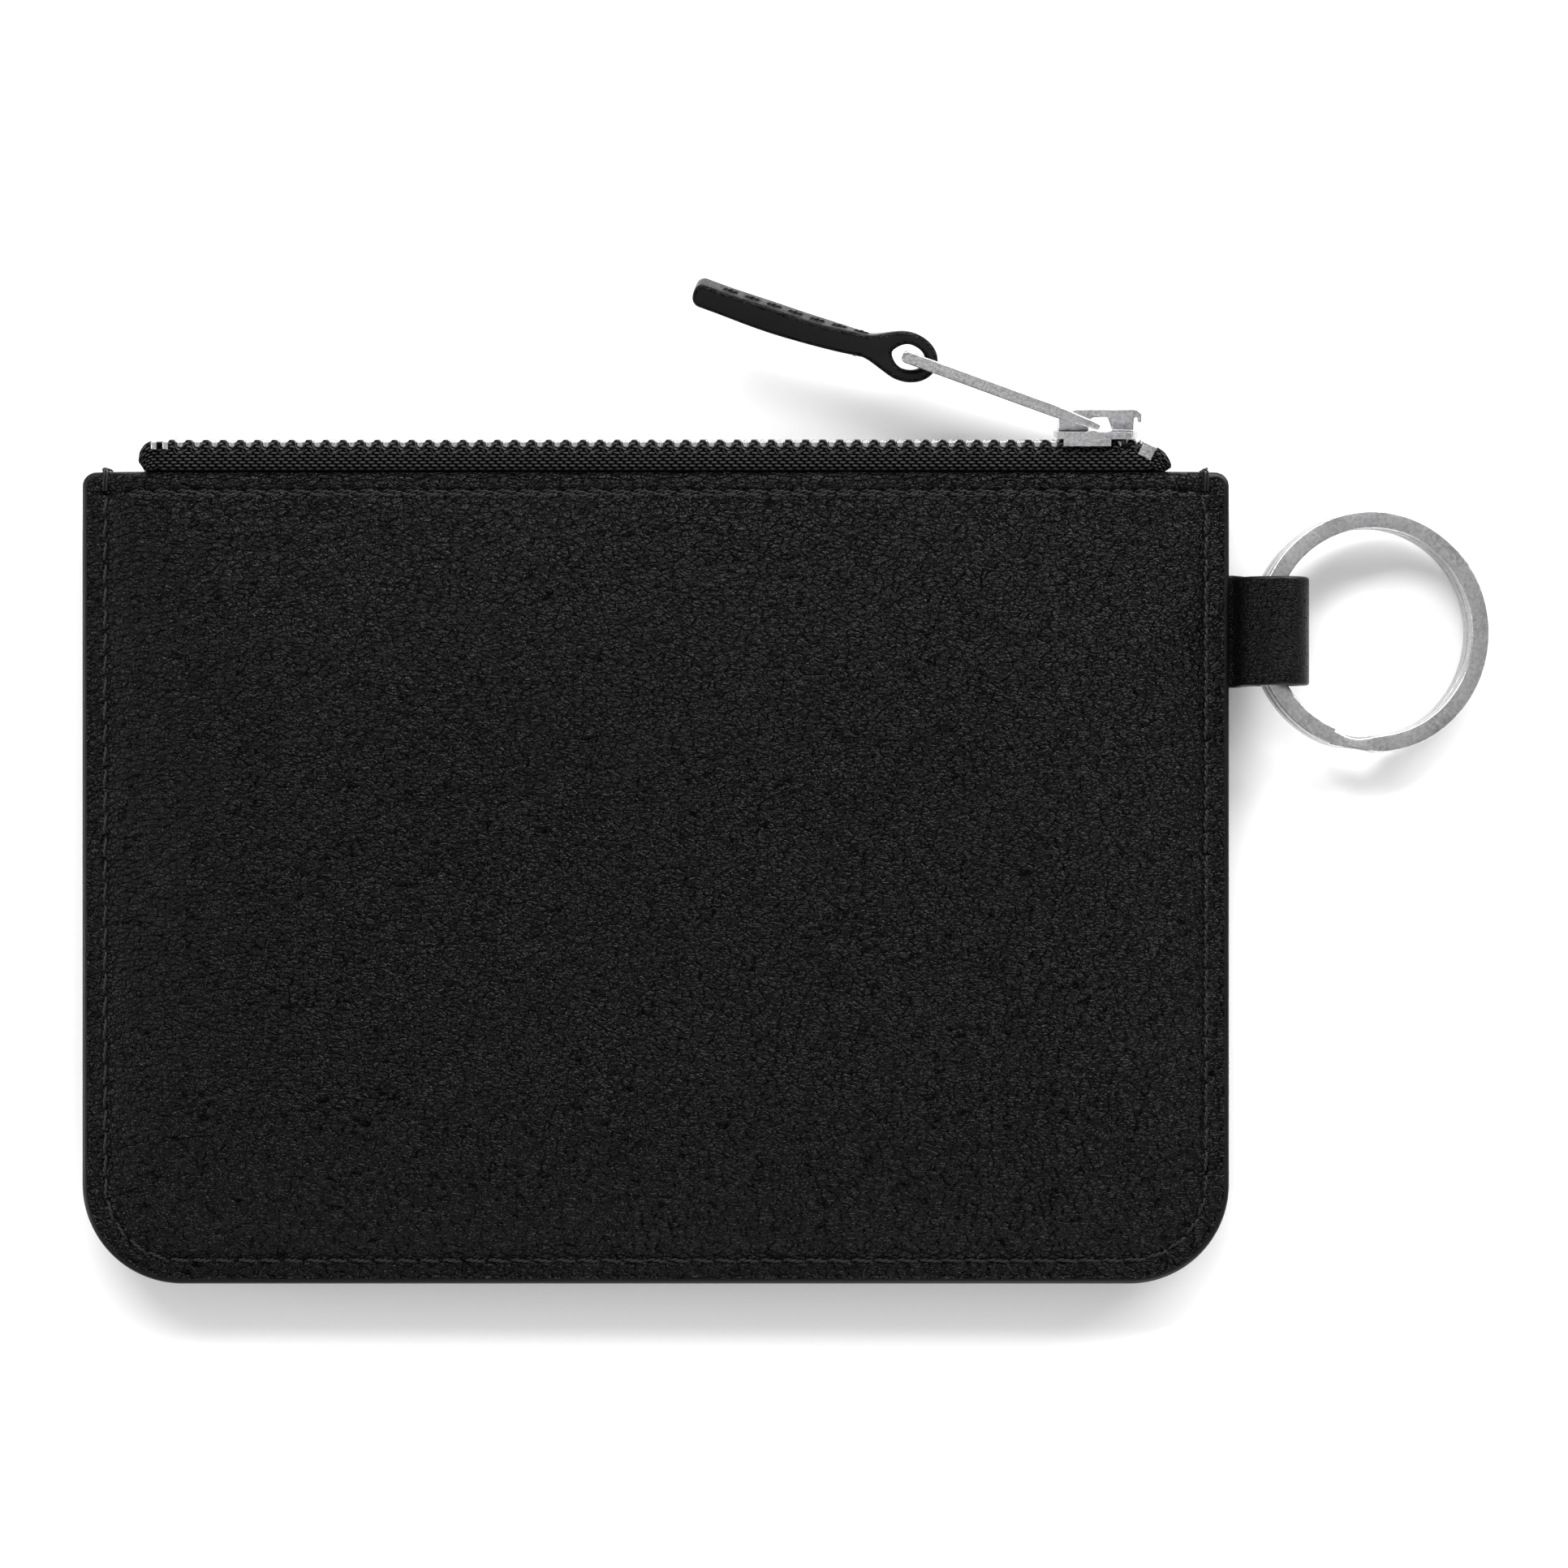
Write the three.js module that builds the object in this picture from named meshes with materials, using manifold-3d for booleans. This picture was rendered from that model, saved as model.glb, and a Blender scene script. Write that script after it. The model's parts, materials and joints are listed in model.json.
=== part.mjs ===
// A zipped leather coin purse with a key ring, lying on its back panel.
// +X runs along the zip towards its closed end, +Y from the pouch's bottom to its mouth, and +Z out of
// the front panel. The origin is the middle of the back panel's flat face. Millimetres.
import * as THREE from "three";
import { mergeVertices } from "three/addons/utils/BufferGeometryUtils.js";
import Module from "manifold-3d";

// The pouch
const POUCH_WIDTH = 132.3;
const POUCH_HEIGHT = 93.6;
const POUCH_DEPTH = 11; // at its fullest
const BOTTOM_RADIUS = 11.5;
const TOP_RADIUS = 1.6;
const SEAM_LEVEL = 5.2; // the side seams' height above the back face
const SEAM_HALF = 1.65; // half the thickness at the seams
const MOUTH_HALF = 3.35; // half the thickness at the middle of the mouth
const SEAM_GAP = 0.02; // half the gap between the panels where they are sewn together
const RIM = 1.25; // how far in the panels lie on each other
const LEATHER = 1.3;
const HEM = 1.8; // the leather turned over at the mouth, skived and glued
const HEM_DEPTH = 2.4;
const MOUTH_LENGTH = 122; // between the closed ends of the mouth
const LINING = 0.35;
const LINING_INSET = 3;
const THREAD_RADIUS = 0.2;
const STITCH_INSET = 2.8; // the seam stitches, in from the edge
const MOUTH_STITCH_INSET = 2.3;

// The zip, in its own frame: x along the chain, y out of the pouch, z towards the front
const ZIP_TILT = THREE.MathUtils.degToRad(8); // the zip leans towards the front
const ZIP_RISE = 2.95; // the chain's middle above the pouch's top edge
const TAPE_HALF_LENGTH = 59.5;
const TAPE = 0.6;
const TAPE_DEPTH = 5; // how far the tapes reach into the pouch
const TOOTH_PITCH = 1.97;
const TOOTH_WIDTH = 0.84;
const TOOTH_HALF_HEIGHT = 0.9;
const TOOTH_TIP = -0.55; // past the chain's middle
const TOOTH_ROOT = 1.15;
const BEAD_EDGE = 2.25;
const CHAIN_START = -55.6;
const CHAIN_END = 55.2;
const MESHED_END = 51.4; // the teeth are in mesh up to the slider's wedge
const TOP_STOP_TILT = 0.45;

// The slider and its pull
const SLIDER_START = 46.15;
const SLIDER_END = 55.5;
const SLIDER_HALF_WIDTH = 3.8;
const PLATE_INNER = 1.15;
const PLATE_OUTER = 1.95;
const FLANGE_END = 52.3;
const CROWN_HALF_WIDTH = 1.2;
const CROWN_TOP = 4.5;
const PULL_PIVOT = new THREE.Vector2(50.6, 2.6); // along the chain, and out of it
const PULL_LIFT = THREE.MathUtils.degToRad(19.9); // the pull's angle above the chain
const PULL_LENGTH = 23.6; // from the pivot to the far end
const PULL_HALF_WIDTH = 3.1;
const PULL_HALF_THICKNESS = 0.7;
const BAR_HALF = 0.45; // the bar through the crown
const CROWN_SLOT_END = 6.4;
const CROWN_SLOT_HALF_WIDTH = 1.45;
const STRAP_SLOT = [18.9, 22.5];
const STRAP_SLOT_HALF_WIDTH = 2.2;
const STRAP_PIVOT = 23.05; // the middle of the pull's outer bar
const STRAP_TURN = THREE.MathUtils.degToRad(2.5); // the leather hangs a little lower than the pull
const STRAP_HALF_WIDTH = 2;
const STRAP_HALF_THICKNESS = 1.4;
const STRAP_LENGTH = 25.6; // from the pivot to its free end
const EYE_HALF_HEIGHT = 2.85;
const EYE_WALL = 1.4;
const EYE_FRONT = 3.6; // the eye's reach towards the slider
const EYE_BACK = 1.8; // the eye's hole away from the slider
const EYE_TAPER = 3.2; // from there to where the two plies lie flat together

// The key loop and the split ring
const LOOP_MIDDLE = 28.45; // along Y
const LOOP_HALF_WIDTH = 6.25;
const LOOP_PIVOT = POUCH_WIDTH / 2 + 1.1;
const LOOP_RISE = THREE.MathUtils.degToRad(14);
const LOOP_LEATHER = 1.1;
const LOOP_NECK_HALF = 1;
const TUNNEL_RADIUS = 2.7;
const TUNNEL_NEAR = 3.5; // from the loop's pivot to where the ring turns
const TUNNEL_FAR = 4.45;
const TAIL_LENGTH = 2.75; // the loop's tail sewn into the seam
const RING_RADIUS = 14;
const RING_WIRE_WIDTH = 2.04;
const RING_WIRE_THICKNESS = 1.6;
const RING_TURN_OFFSET = 0.85; // each turn's middle above or below the ring's own
const RING_PIVOT_TO_CENTRE = 12.18;
const RING_DROOP = THREE.MathUtils.degToRad(9.6);
const RING_START = THREE.MathUtils.degToRad(248);
const RING_SWEEP = THREE.MathUtils.degToRad(696);
const RING_RAMP = THREE.MathUtils.degToRad(20);
const RING_RAMP_LEAD = THREE.MathUtils.degToRad(3); // the step down ends this far before a whole turn
const RING_STEP = THREE.MathUtils.degToRad(9);

const { lerp } = THREE.MathUtils;
const wasm = await Module();
wasm.setup();

const material = (color, roughness, metalness = 0) =>
  new THREE.MeshStandardMaterial({ color, roughness, metalness });
const leather = material(0x161616, 0.5);
const strapLeather = material(0x121212, 0.45);
const lining = material(0x1a1a1c, 0.9);
const tape = material(0x0c0c0c, 0.85);
const thread = material(0x141414, 0.7);
const nickel = material(0xc9c9cb, 0.25, 1);
const steel = material(0xb9b9bb, 0.35, 1);

function named(name, geometry, look) {
  const mesh = new THREE.Mesh(geometry, look);
  mesh.name = name;
  return mesh;
}

// ---- Solids ----

// A geometry as a manifold-3d solid.
function solid(geometry) {
  const bare = geometry.clone().deleteAttribute("normal").deleteAttribute("uv");
  const merged = mergeVertices(bare, 1e-4);
  return new wasm.Manifold(
    new wasm.Mesh({
      numProp: 3,
      vertProperties: merged.attributes.position.array,
      triVerts: new Uint32Array(merged.index.array),
    }),
  );
}

function geometryOf(manifold) {
  const mesh = manifold.getMesh();
  const geometry = new THREE.BufferGeometry();
  geometry.setAttribute("position", new THREE.BufferAttribute(mesh.vertProperties, 3));
  geometry.setIndex(new THREE.BufferAttribute(mesh.triVerts, 1));
  return geometry;
}

const cut = (geometry, ...cutters) =>
  geometryOf(cutters.reduce((left, cutter) => left.subtract(solid(cutter)), solid(geometry)));

const join = (...geometries) =>
  geometryOf(geometries.slice(1).reduce((all, next) => all.add(solid(next)), solid(geometries[0])));

// A box between two corners.
function block(low, high) {
  const size = high.map((value, axis) => value - low[axis]);
  const middle = high.map((value, axis) => (value + low[axis]) / 2);
  return new THREE.BoxGeometry(...size).translate(...middle);
}

const extrude = (shape, depth, curveSegments = 6) =>
  new THREE.ExtrudeGeometry(shape, { depth, bevelEnabled: false, curveSegments });

const X = new THREE.Vector3(1, 0, 0);
const Y = new THREE.Vector3(0, 1, 0);
const Z = new THREE.Vector3(0, 0, 1);

// A (y, z) section run along X.
const alongX = (shape, from, to) =>
  extrude(shape, to - from)
    .applyMatrix4(new THREE.Matrix4().makeBasis(Y, Z, X))
    .translate(from, 0, 0);

// An (x, y) profile run across z, the same distance to each side.
const acrossZ = (shape, half, curveSegments) =>
  extrude(shape, 2 * half, curveSegments).translate(0, 0, -half);

// An (x, z) outline run along y, from bottom to top.
const upY = (shape, from, to) =>
  extrude(shape, to - from)
    .applyMatrix4(new THREE.Matrix4().makeBasis(X, Z, Y.clone().negate()))
    .translate(0, to, 0);

const shapeOf = (points) => new THREE.Shape(points.map(([a, b]) => new THREE.Vector2(a, b)));

// The outline of a strip of even thickness along an open line.
function strip(points, thickness) {
  const line = points.map(([a, b]) => new THREE.Vector2(a, b));
  const normals = line.map((point, i) => {
    const before = line[Math.max(i - 1, 0)];
    const after = line[Math.min(i + 1, line.length - 1)];
    const one = i ? point.clone().sub(before).normalize() : after.clone().sub(point).normalize();
    const two = i < line.length - 1 ? after.clone().sub(point).normalize() : one;
    const middle = one.clone().add(two).normalize();
    const reach = thickness / 2 / middle.dot(one);
    return new THREE.Vector2(-middle.y, middle.x).multiplyScalar(reach);
  });
  const left = line.map((point, i) => point.clone().add(normals[i]));
  const right = line.map((point, i) => point.clone().sub(normals[i]));
  return new THREE.Shape([...right, ...left.reverse()]);
}

// A closed skin over sections with the same number of points, capped at both ends.
function loft(sections) {
  const count = sections[0].length;
  const index = [];
  for (let s = 0; s + 1 < sections.length; s++)
    for (let i = 0; i < count; i++) {
      const [a, b] = [s * count + i, s * count + ((i + 1) % count)];
      index.push(a, b, b + count, a, b + count, a + count);
    }
  const last = (sections.length - 1) * count;
  for (let i = 1; i + 1 < count; i++) index.push(0, i + 1, i, last, last + i, last + i + 1);
  const geometry = new THREE.BufferGeometry().setFromPoints(sections.flat());
  geometry.setIndex(index);
  return geometry;
}

// ---- The pouch ----

const HALF_WIDTH = POUCH_WIDTH / 2;
const HALF_HEIGHT = POUCH_HEIGHT / 2;

// A swell that rises steeply from a seam and levels out at `reach`.
function swell(distance, reach) {
  const t = Math.min(Math.max(distance / reach, 0), 1);
  return t * (2 - t);
}

// The distance in from the side and bottom seams.
function fromSeam(x, y) {
  const across = Math.abs(x) - (HALF_WIDTH - BOTTOM_RADIUS);
  const down = -y - (HALF_HEIGHT - BOTTOM_RADIUS);
  if (across > 0 && down > 0) return BOTTOM_RADIUS - Math.hypot(across, down);
  return BOTTOM_RADIUS - Math.max(across, down);
}

const fromMouth = (y) => HALF_HEIGHT - y;

// How a side of the pouch swells: its fullest half depth, and how soon it gets there.
const FRONT = { sign: 1, fullest: POUCH_DEPTH - SEAM_LEVEL, sideReach: 24, mouthReach: 34 };
const BACK = { sign: -1, fullest: SEAM_LEVEL, sideReach: 17, mouthReach: 22 };
const MOUTH_END_REACH = 9;

// The outer face's distance from the seam level.
function outerHalf(side, x, y) {
  const open = swell(fromMouth(y), side.mouthReach);
  const reach = lerp(MOUTH_END_REACH, side.sideReach, open);
  const rise = lerp(MOUTH_HALF, side.fullest, open) - SEAM_HALF;
  return SEAM_HALF + rise * swell(fromSeam(x, y), reach);
}

// The leather's inner face: on the other panel at the rim, and one hem or one leather in elsewhere.
function innerHalf(side, x, y) {
  const outer = outerHalf(side, x, y);
  const inHem = fromMouth(y) < HEM_DEPTH;
  if (fromSeam(x, y) < RIM || (inHem && Math.abs(x) > MOUTH_LENGTH / 2)) return SEAM_GAP;
  return outer - (inHem ? HEM : LEATHER);
}

// The lining hangs just inside the leather, and inside the tapes near the mouth.
const LINING_CLEARANCE = 0.12;
const liningHalf = (side, x, y) =>
  Math.min(innerHalf(side, x, y) - LINING_CLEARANCE, 0.7 + 0.25 * (fromMouth(y) - LINING_INSET));

// The points between two corners of an outline, at fractions of the way along.
const between = (a, b, fractions) => fractions.map((f) => a.clone().lerp(b, f));

const MOUTH_POINTS = [0.019, 0.033, 0.18, 0.34, 0.5, 0.66, 0.82, 0.967, 0.981];
const SIDE_POINTS = [0.25, 0.5, 0.75];
const BOTTOM_POINTS = [0.2, 0.4, 0.6, 0.8];

// The pouch's outline moved in, anticlockwise from the right end of the mouth.
function outline(inset) {
  const [w, h] = [HALF_WIDTH - inset, HALF_HEIGHT - inset];
  const top = Math.max(TOP_RADIUS - inset, 0.3);
  const bottom = Math.max(BOTTOM_RADIUS - inset, 0.6);
  const corner = (x, y, radius, quarter, steps) =>
    Array.from({ length: steps + 1 }, (_, i) => {
      const angle = (quarter + i / steps) * (Math.PI / 2);
      return new THREE.Vector2(x + radius * Math.cos(angle), y + radius * Math.sin(angle));
    });
  const corners = [
    corner(w - top, h - top, top, 0, 2),
    corner(top - w, h - top, top, 1, 2),
    corner(bottom - w, bottom - h, bottom, 2, 4),
    corner(w - bottom, bottom - h, bottom, 3, 4),
  ];
  const stretches = [MOUTH_POINTS, SIDE_POINTS, BOTTOM_POINTS, SIDE_POINTS];
  return corners.flatMap((arc, i) => [
    ...arc,
    ...between(arc.at(-1), corners[(i + 1) % 4][0], stretches[i]),
  ]);
}

// A closed sheet over the outline: one face through `topInsets`, and back under it through `bottomInsets`.
function sheet(topInsets, topHalf, bottomInsets, bottomHalf, side) {
  const ring = (inset, half) =>
    outline(inset).map((p) => new THREE.Vector3(p.x, p.y, SEAM_LEVEL + side.sign * half(side, p.x, p.y)));
  const centre = (half) => new THREE.Vector3(0, 0, SEAM_LEVEL + side.sign * half(side, 0, 0));
  const rings = [
    ...[...topInsets].reverse().map((inset) => ring(inset, topHalf)),
    ...bottomInsets.map((inset) => ring(inset, bottomHalf)),
  ];
  const count = rings[0].length;
  const index = [];
  for (let r = 0; r + 1 < rings.length; r++)
    for (let i = 0; i < count; i++) {
      const [a, b] = [r * count + i, r * count + ((i + 1) % count)];
      index.push(a, a + count, b + count, a, b + count, b);
    }
  const [topCentre, bottomCentre] = [rings.length * count, rings.length * count + 1];
  const last = (rings.length - 1) * count;
  for (let i = 0; i < count; i++) {
    const next = (i + 1) % count;
    index.push(topCentre, i, next, bottomCentre, last + next, last + i);
  }
  if (side.sign < 0) index.reverse();
  const geometry = new THREE.BufferGeometry().setFromPoints([
    ...rings.flat(),
    centre(topHalf),
    centre(bottomHalf),
  ]);
  geometry.setIndex(index);
  return geometry;
}

const PANEL_INSETS = [0, 1.2, STITCH_INSET, 7, 14, 24, 36];
const LINING_INSETS = [LINING_INSET, 7, 14, 24, 36];

// The loop's tail lies in a pocket skived out of the two panels.
const TAIL_HALF_THICKNESS = 0.95;
const POCKET_CLEARANCE = 0.1;
const tailPocket = () =>
  block(
    [
      HALF_WIDTH - TAIL_LENGTH - POCKET_CLEARANCE,
      LOOP_MIDDLE - LOOP_HALF_WIDTH - POCKET_CLEARANCE,
      SEAM_LEVEL - TAIL_HALF_THICKNESS - POCKET_CLEARANCE,
    ],
    [
      HALF_WIDTH + 1,
      LOOP_MIDDLE + LOOP_HALF_WIDTH + POCKET_CLEARANCE,
      SEAM_LEVEL + TAIL_HALF_THICKNESS + POCKET_CLEARANCE,
    ],
  );

const panel = (side) => cut(sheet(PANEL_INSETS, outerHalf, PANEL_INSETS, innerHalf, side), tailPocket());

const liningSheet = (side) =>
  sheet(LINING_INSETS, liningHalf, LINING_INSETS, (s, x, y) => liningHalf(s, x, y) - LINING, side);

// A line of stitches along points of a panel's face.
const THREAD_STANDOFF = 0.25;
function stitchLine(side, points) {
  const path = new THREE.CurvePath();
  const lifted = points.map(
    (p) =>
      new THREE.Vector3(
        p.x,
        p.y,
        SEAM_LEVEL + side.sign * (outerHalf(side, p.x, p.y) + THREAD_RADIUS + THREAD_STANDOFF),
      ),
  );
  for (let i = 0; i + 1 < lifted.length; i++) path.add(new THREE.LineCurve3(lifted[i], lifted[i + 1]));
  const r = THREAD_RADIUS;
  const section = shapeOf([[r, 0], [0, r], [-r, 0], [0, -r]]);
  return new THREE.ExtrudeGeometry(section, { steps: 2 * points.length, extrudePath: path });
}

// The seam's stitches run from one end of the mouth round the bottom to the other.
const seamLine = () => {
  const points = outline(STITCH_INSET);
  const mouthEnd = 3 + MOUTH_POINTS.length;
  return points.slice(mouthEnd + 2).concat(points[0]);
};

const mouthLine = () => {
  const half = TAPE_HALF_LENGTH;
  const y = HALF_HEIGHT - MOUTH_STITCH_INSET;
  return [-1, -0.7, -0.35, 0, 0.35, 0.7, 1].map((f) => new THREE.Vector2(f * half, y));
};

const pouch = new THREE.Group();
pouch.add(
  named("front_panel", panel(FRONT), leather),
  named("back_panel", panel(BACK), leather),
  named("front_lining", liningSheet(FRONT), lining),
  named("back_lining", liningSheet(BACK), lining),
  named("front_seam_thread", stitchLine(FRONT, seamLine()), thread),
  named("back_seam_thread", stitchLine(BACK, seamLine()), thread),
  named("front_mouth_thread", stitchLine(FRONT, mouthLine()), thread),
  named("back_mouth_thread", stitchLine(BACK, mouthLine()), thread),
);

// ---- The zip ----

const ZIP_ORIGIN = new THREE.Vector3(0, HALF_HEIGHT + ZIP_RISE, SEAM_LEVEL + ZIP_RISE * Math.tan(ZIP_TILT));

// A point of the zip's own frame as (y, z) in the part's.
const fromZip = (out, front) => [
  ZIP_ORIGIN.y + out * Math.cos(ZIP_TILT) - front * Math.sin(ZIP_TILT),
  ZIP_ORIGIN.z + out * Math.sin(ZIP_TILT) + front * Math.cos(ZIP_TILT),
];

// Each tape rises out of the mouth and steps out to stand beside its row of teeth.
const SHOULDER = 2.75;
const TAPE_STEP = 0.36; // the step's height above the mouth
function zipTape(sign) {
  const level = (half) => SEAM_LEVEL + sign * half;
  const line = [
    [HALF_HEIGHT - TAPE_DEPTH, level(1.6)],
    [HALF_HEIGHT - 2.8, level(1.05)],
    [HALF_HEIGHT + TAPE_STEP, level(1.05)],
    [HALF_HEIGHT + TAPE_STEP, level(SHOULDER)],
    fromZip(0.3, sign * SHOULDER),
  ];
  const section = strip(sign > 0 ? line : line.reverse(), TAPE);
  return alongX(section, -TAPE_HALF_LENGTH, TAPE_HALF_LENGTH);
}

// A row of teeth joined along the bead that they are clamped to.
function toothRow(sign, firstTooth) {
  const edge = [];
  for (let x = firstTooth; x < MESHED_END; x += TOOTH_PITCH) {
    const [a, b] = [x - TOOTH_WIDTH / 2, x + TOOTH_WIDTH / 2];
    edge.push([a, TOOTH_ROOT], [a, TOOTH_TIP], [b, TOOTH_TIP], [b, TOOTH_ROOT]);
  }
  const comb = [
    [CHAIN_START, BEAD_EDGE],
    [CHAIN_START, TOOTH_ROOT],
    ...edge,
    [MESHED_END + 1, TOOTH_ROOT + 0.2],
    [CHAIN_END, TOOTH_ROOT + 0.2],
    [CHAIN_END, BEAD_EDGE],
  ].map(([x, across]) => [x, sign * across]);
  return upY(shapeOf(sign > 0 ? comb : comb.reverse()), -TOOTH_HALF_HEIGHT, TOOTH_HALF_HEIGHT);
}

const FIRST_TOOTH = CHAIN_START + 1;

// The bracket clamped over both tapes at the open end of the zip.
const STOP_GAP = 0.15;
const BOTTOM_STOP_LENGTH = 2.1;
const bottomStop = () =>
  block(
    [CHAIN_START - STOP_GAP - BOTTOM_STOP_LENGTH, -0.95, STOP_GAP - BEAD_EDGE],
    [CHAIN_START - STOP_GAP, 1.05, BEAD_EDGE - STOP_GAP],
  );

// The two stops at the closed end tip over with the turned-down tape.
const TOP_STOP_HALF = [0.9, 0.75, 0.75];
const TOP_STOP_OFFSET = 1.35; // past the chain's end, and to each side
const topStop = (sign) =>
  block(TOP_STOP_HALF.map((half) => -half), TOP_STOP_HALF)
    .rotateZ(-TOP_STOP_TILT)
    .translate(CHAIN_END + TOP_STOP_OFFSET, -0.15, sign * TOP_STOP_OFFSET);

const zip = new THREE.Group();
zip.position.copy(ZIP_ORIGIN);
zip.rotation.x = ZIP_TILT;
zip.add(
  named("front_tooth_row", toothRow(1, FIRST_TOOTH), nickel),
  named("back_tooth_row", toothRow(-1, FIRST_TOOTH + TOOTH_PITCH / 2), nickel),
  named("bottom_stop", bottomStop(), nickel),
  named("front_top_stop", topStop(1), nickel),
  named("back_top_stop", topStop(-1), nickel),
);

const tapes = new THREE.Group();
tapes.add(named("front_zip_tape", zipTape(1), tape), named("back_zip_tape", zipTape(-1), tape));

// ---- The slider ----

// A plate of the slider: a shield, wider at its front.
const REAR_INSET = 0.5;
const NOSE_CORNER = 0.9;
const plateShape = (half) =>
  shapeOf([
    [SLIDER_START, REAR_INSET - half],
    [FLANGE_END, -half],
    [SLIDER_END - NOSE_CORNER, -half],
    [SLIDER_END, NOSE_CORNER - half],
    [SLIDER_END, half - NOSE_CORNER],
    [SLIDER_END - NOSE_CORNER, half],
    [FLANGE_END, half],
    [SLIDER_START, half - REAR_INSET],
  ]);
const LOWER_PLATE_HALF_WIDTH = 2.2;
const WEDGE = { start: 52.4, widest: 54, end: 55.4, half: 1.05, endHalf: 0.4 };
const WEDGE_OVERLAP = 0.2; // how far the wedge runs into each plate
const FLANGE_START = SLIDER_START + 0.7;
const FLANGE_FOOT = 0.35;
const FLANGE_WALL = 0.5;

function sliderBody() {
  const upper = upY(plateShape(SLIDER_HALF_WIDTH), PLATE_INNER, PLATE_OUTER);
  const lower = upY(plateShape(LOWER_PLATE_HALF_WIDTH), -PLATE_OUTER, -PLATE_INNER);
  const wedge = upY(
    shapeOf([
      [WEDGE.start, 0],
      [WEDGE.widest, -WEDGE.half],
      [WEDGE.end, -WEDGE.endHalf],
      [WEDGE.end, WEDGE.endHalf],
      [WEDGE.widest, WEDGE.half],
    ]),
    -PLATE_INNER - WEDGE_OVERLAP,
    PLATE_INNER + WEDGE_OVERLAP,
  );
  const flanges = [-1, 1].map((sign) => {
    const walls = [SLIDER_HALF_WIDTH - FLANGE_WALL, SLIDER_HALF_WIDTH].map((w) => sign * w);
    const [a, b] = walls.sort((p, q) => p - q);
    return block([FLANGE_START, FLANGE_FOOT, a], [FLANGE_END, PLATE_OUTER, b]);
  });
  return join(upper, lower, wedge, ...flanges);
}

// The crown: a bridge over the pull's bar, its front foot hollow for the lock spring.
const CROWN_FOOT = PLATE_OUTER + 0.03;
const CROWN_START = 46.4;
const CROWN_END = 56;
const CROWN_SHOULDER = 4; // where its rounded ends meet its top
const LIP = { start: 55.1, hook: 55.6, foot: 2.9, underside: 3.4 };
const WINDOW = { start: 49.9, end: 52.7, side: 3.1, top: 3.5 };
const POCKET = { start: 53.1, end: 54.8, top: 3.3, half: 0.7, depth: 0.5 };
function crown() {
  const profile = shapeOf([
    [CROWN_START, CROWN_FOOT],
    [WINDOW.start, CROWN_FOOT],
    [WINDOW.start, WINDOW.side],
    [WINDOW.start + 0.45, WINDOW.top],
    [WINDOW.end - 0.6, WINDOW.top],
    [WINDOW.end, CROWN_FOOT],
    [LIP.start, CROWN_FOOT],
    [LIP.start, WINDOW.top],
    [LIP.hook, LIP.underside],
    [LIP.hook, LIP.foot],
    [CROWN_END, LIP.foot],
    [CROWN_END, CROWN_SHOULDER],
    [CROWN_END - 0.6, CROWN_TOP],
    [CROWN_START + 2, CROWN_TOP],
    [CROWN_START + 0.6, CROWN_SHOULDER],
    [CROWN_START, LIP.foot + 0.1],
  ]);
  const pocket = block(
    [POCKET.start, CROWN_FOOT - POCKET.depth, -POCKET.half],
    [POCKET.end, POCKET.top, POCKET.half],
  );
  return cut(acrossZ(profile, CROWN_HALF_WIDTH), pocket);
}

const LOCK_SPRING_LINE = [[53.3, 2.15], [53.6, 2.9], [54.3, 2.9], [54.6, 2.15]];
const LOCK_SPRING_THICKNESS = 0.2;
const LOCK_SPRING_HALF_WIDTH = 0.5;
const lockSpring = () => acrossZ(strip(LOCK_SPRING_LINE, LOCK_SPRING_THICKNESS), LOCK_SPRING_HALF_WIDTH);

zip.add(
  named("slider_body", sliderBody(), nickel),
  named("slider_crown", crown(), nickel),
  named("lock_spring", lockSpring(), steel),
);

// ---- The pull, lifted off the chain: its length runs along its own x ----

const BAR_END_HALF = 0.35;
const PULL_FULL_FROM = 5; // the pull thins from here to its inner bar
const PULL_EDGE = 0.3;
function pullTab() {
  const t = PULL_HALF_THICKNESS;
  const profile = shapeOf([
    [-BAR_HALF, -BAR_END_HALF],
    [BAR_HALF, -BAR_HALF],
    [PULL_FULL_FROM, -t],
    [PULL_LENGTH - PULL_EDGE, -t],
    [PULL_LENGTH, PULL_EDGE - t],
    [PULL_LENGTH, t - PULL_EDGE],
    [PULL_LENGTH - PULL_EDGE, t],
    [PULL_FULL_FROM, t],
    [BAR_HALF, BAR_HALF],
    [-BAR_HALF, BAR_END_HALF],
  ]);
  const slot = (from, to, half) => block([from, -2, -half], [to, 2, half]);
  return cut(
    acrossZ(profile, PULL_HALF_WIDTH),
    slot(BAR_HALF, CROWN_SLOT_END, CROWN_SLOT_HALF_WIDTH),
    slot(...STRAP_SLOT, STRAP_SLOT_HALF_WIDTH),
  );
}

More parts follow.
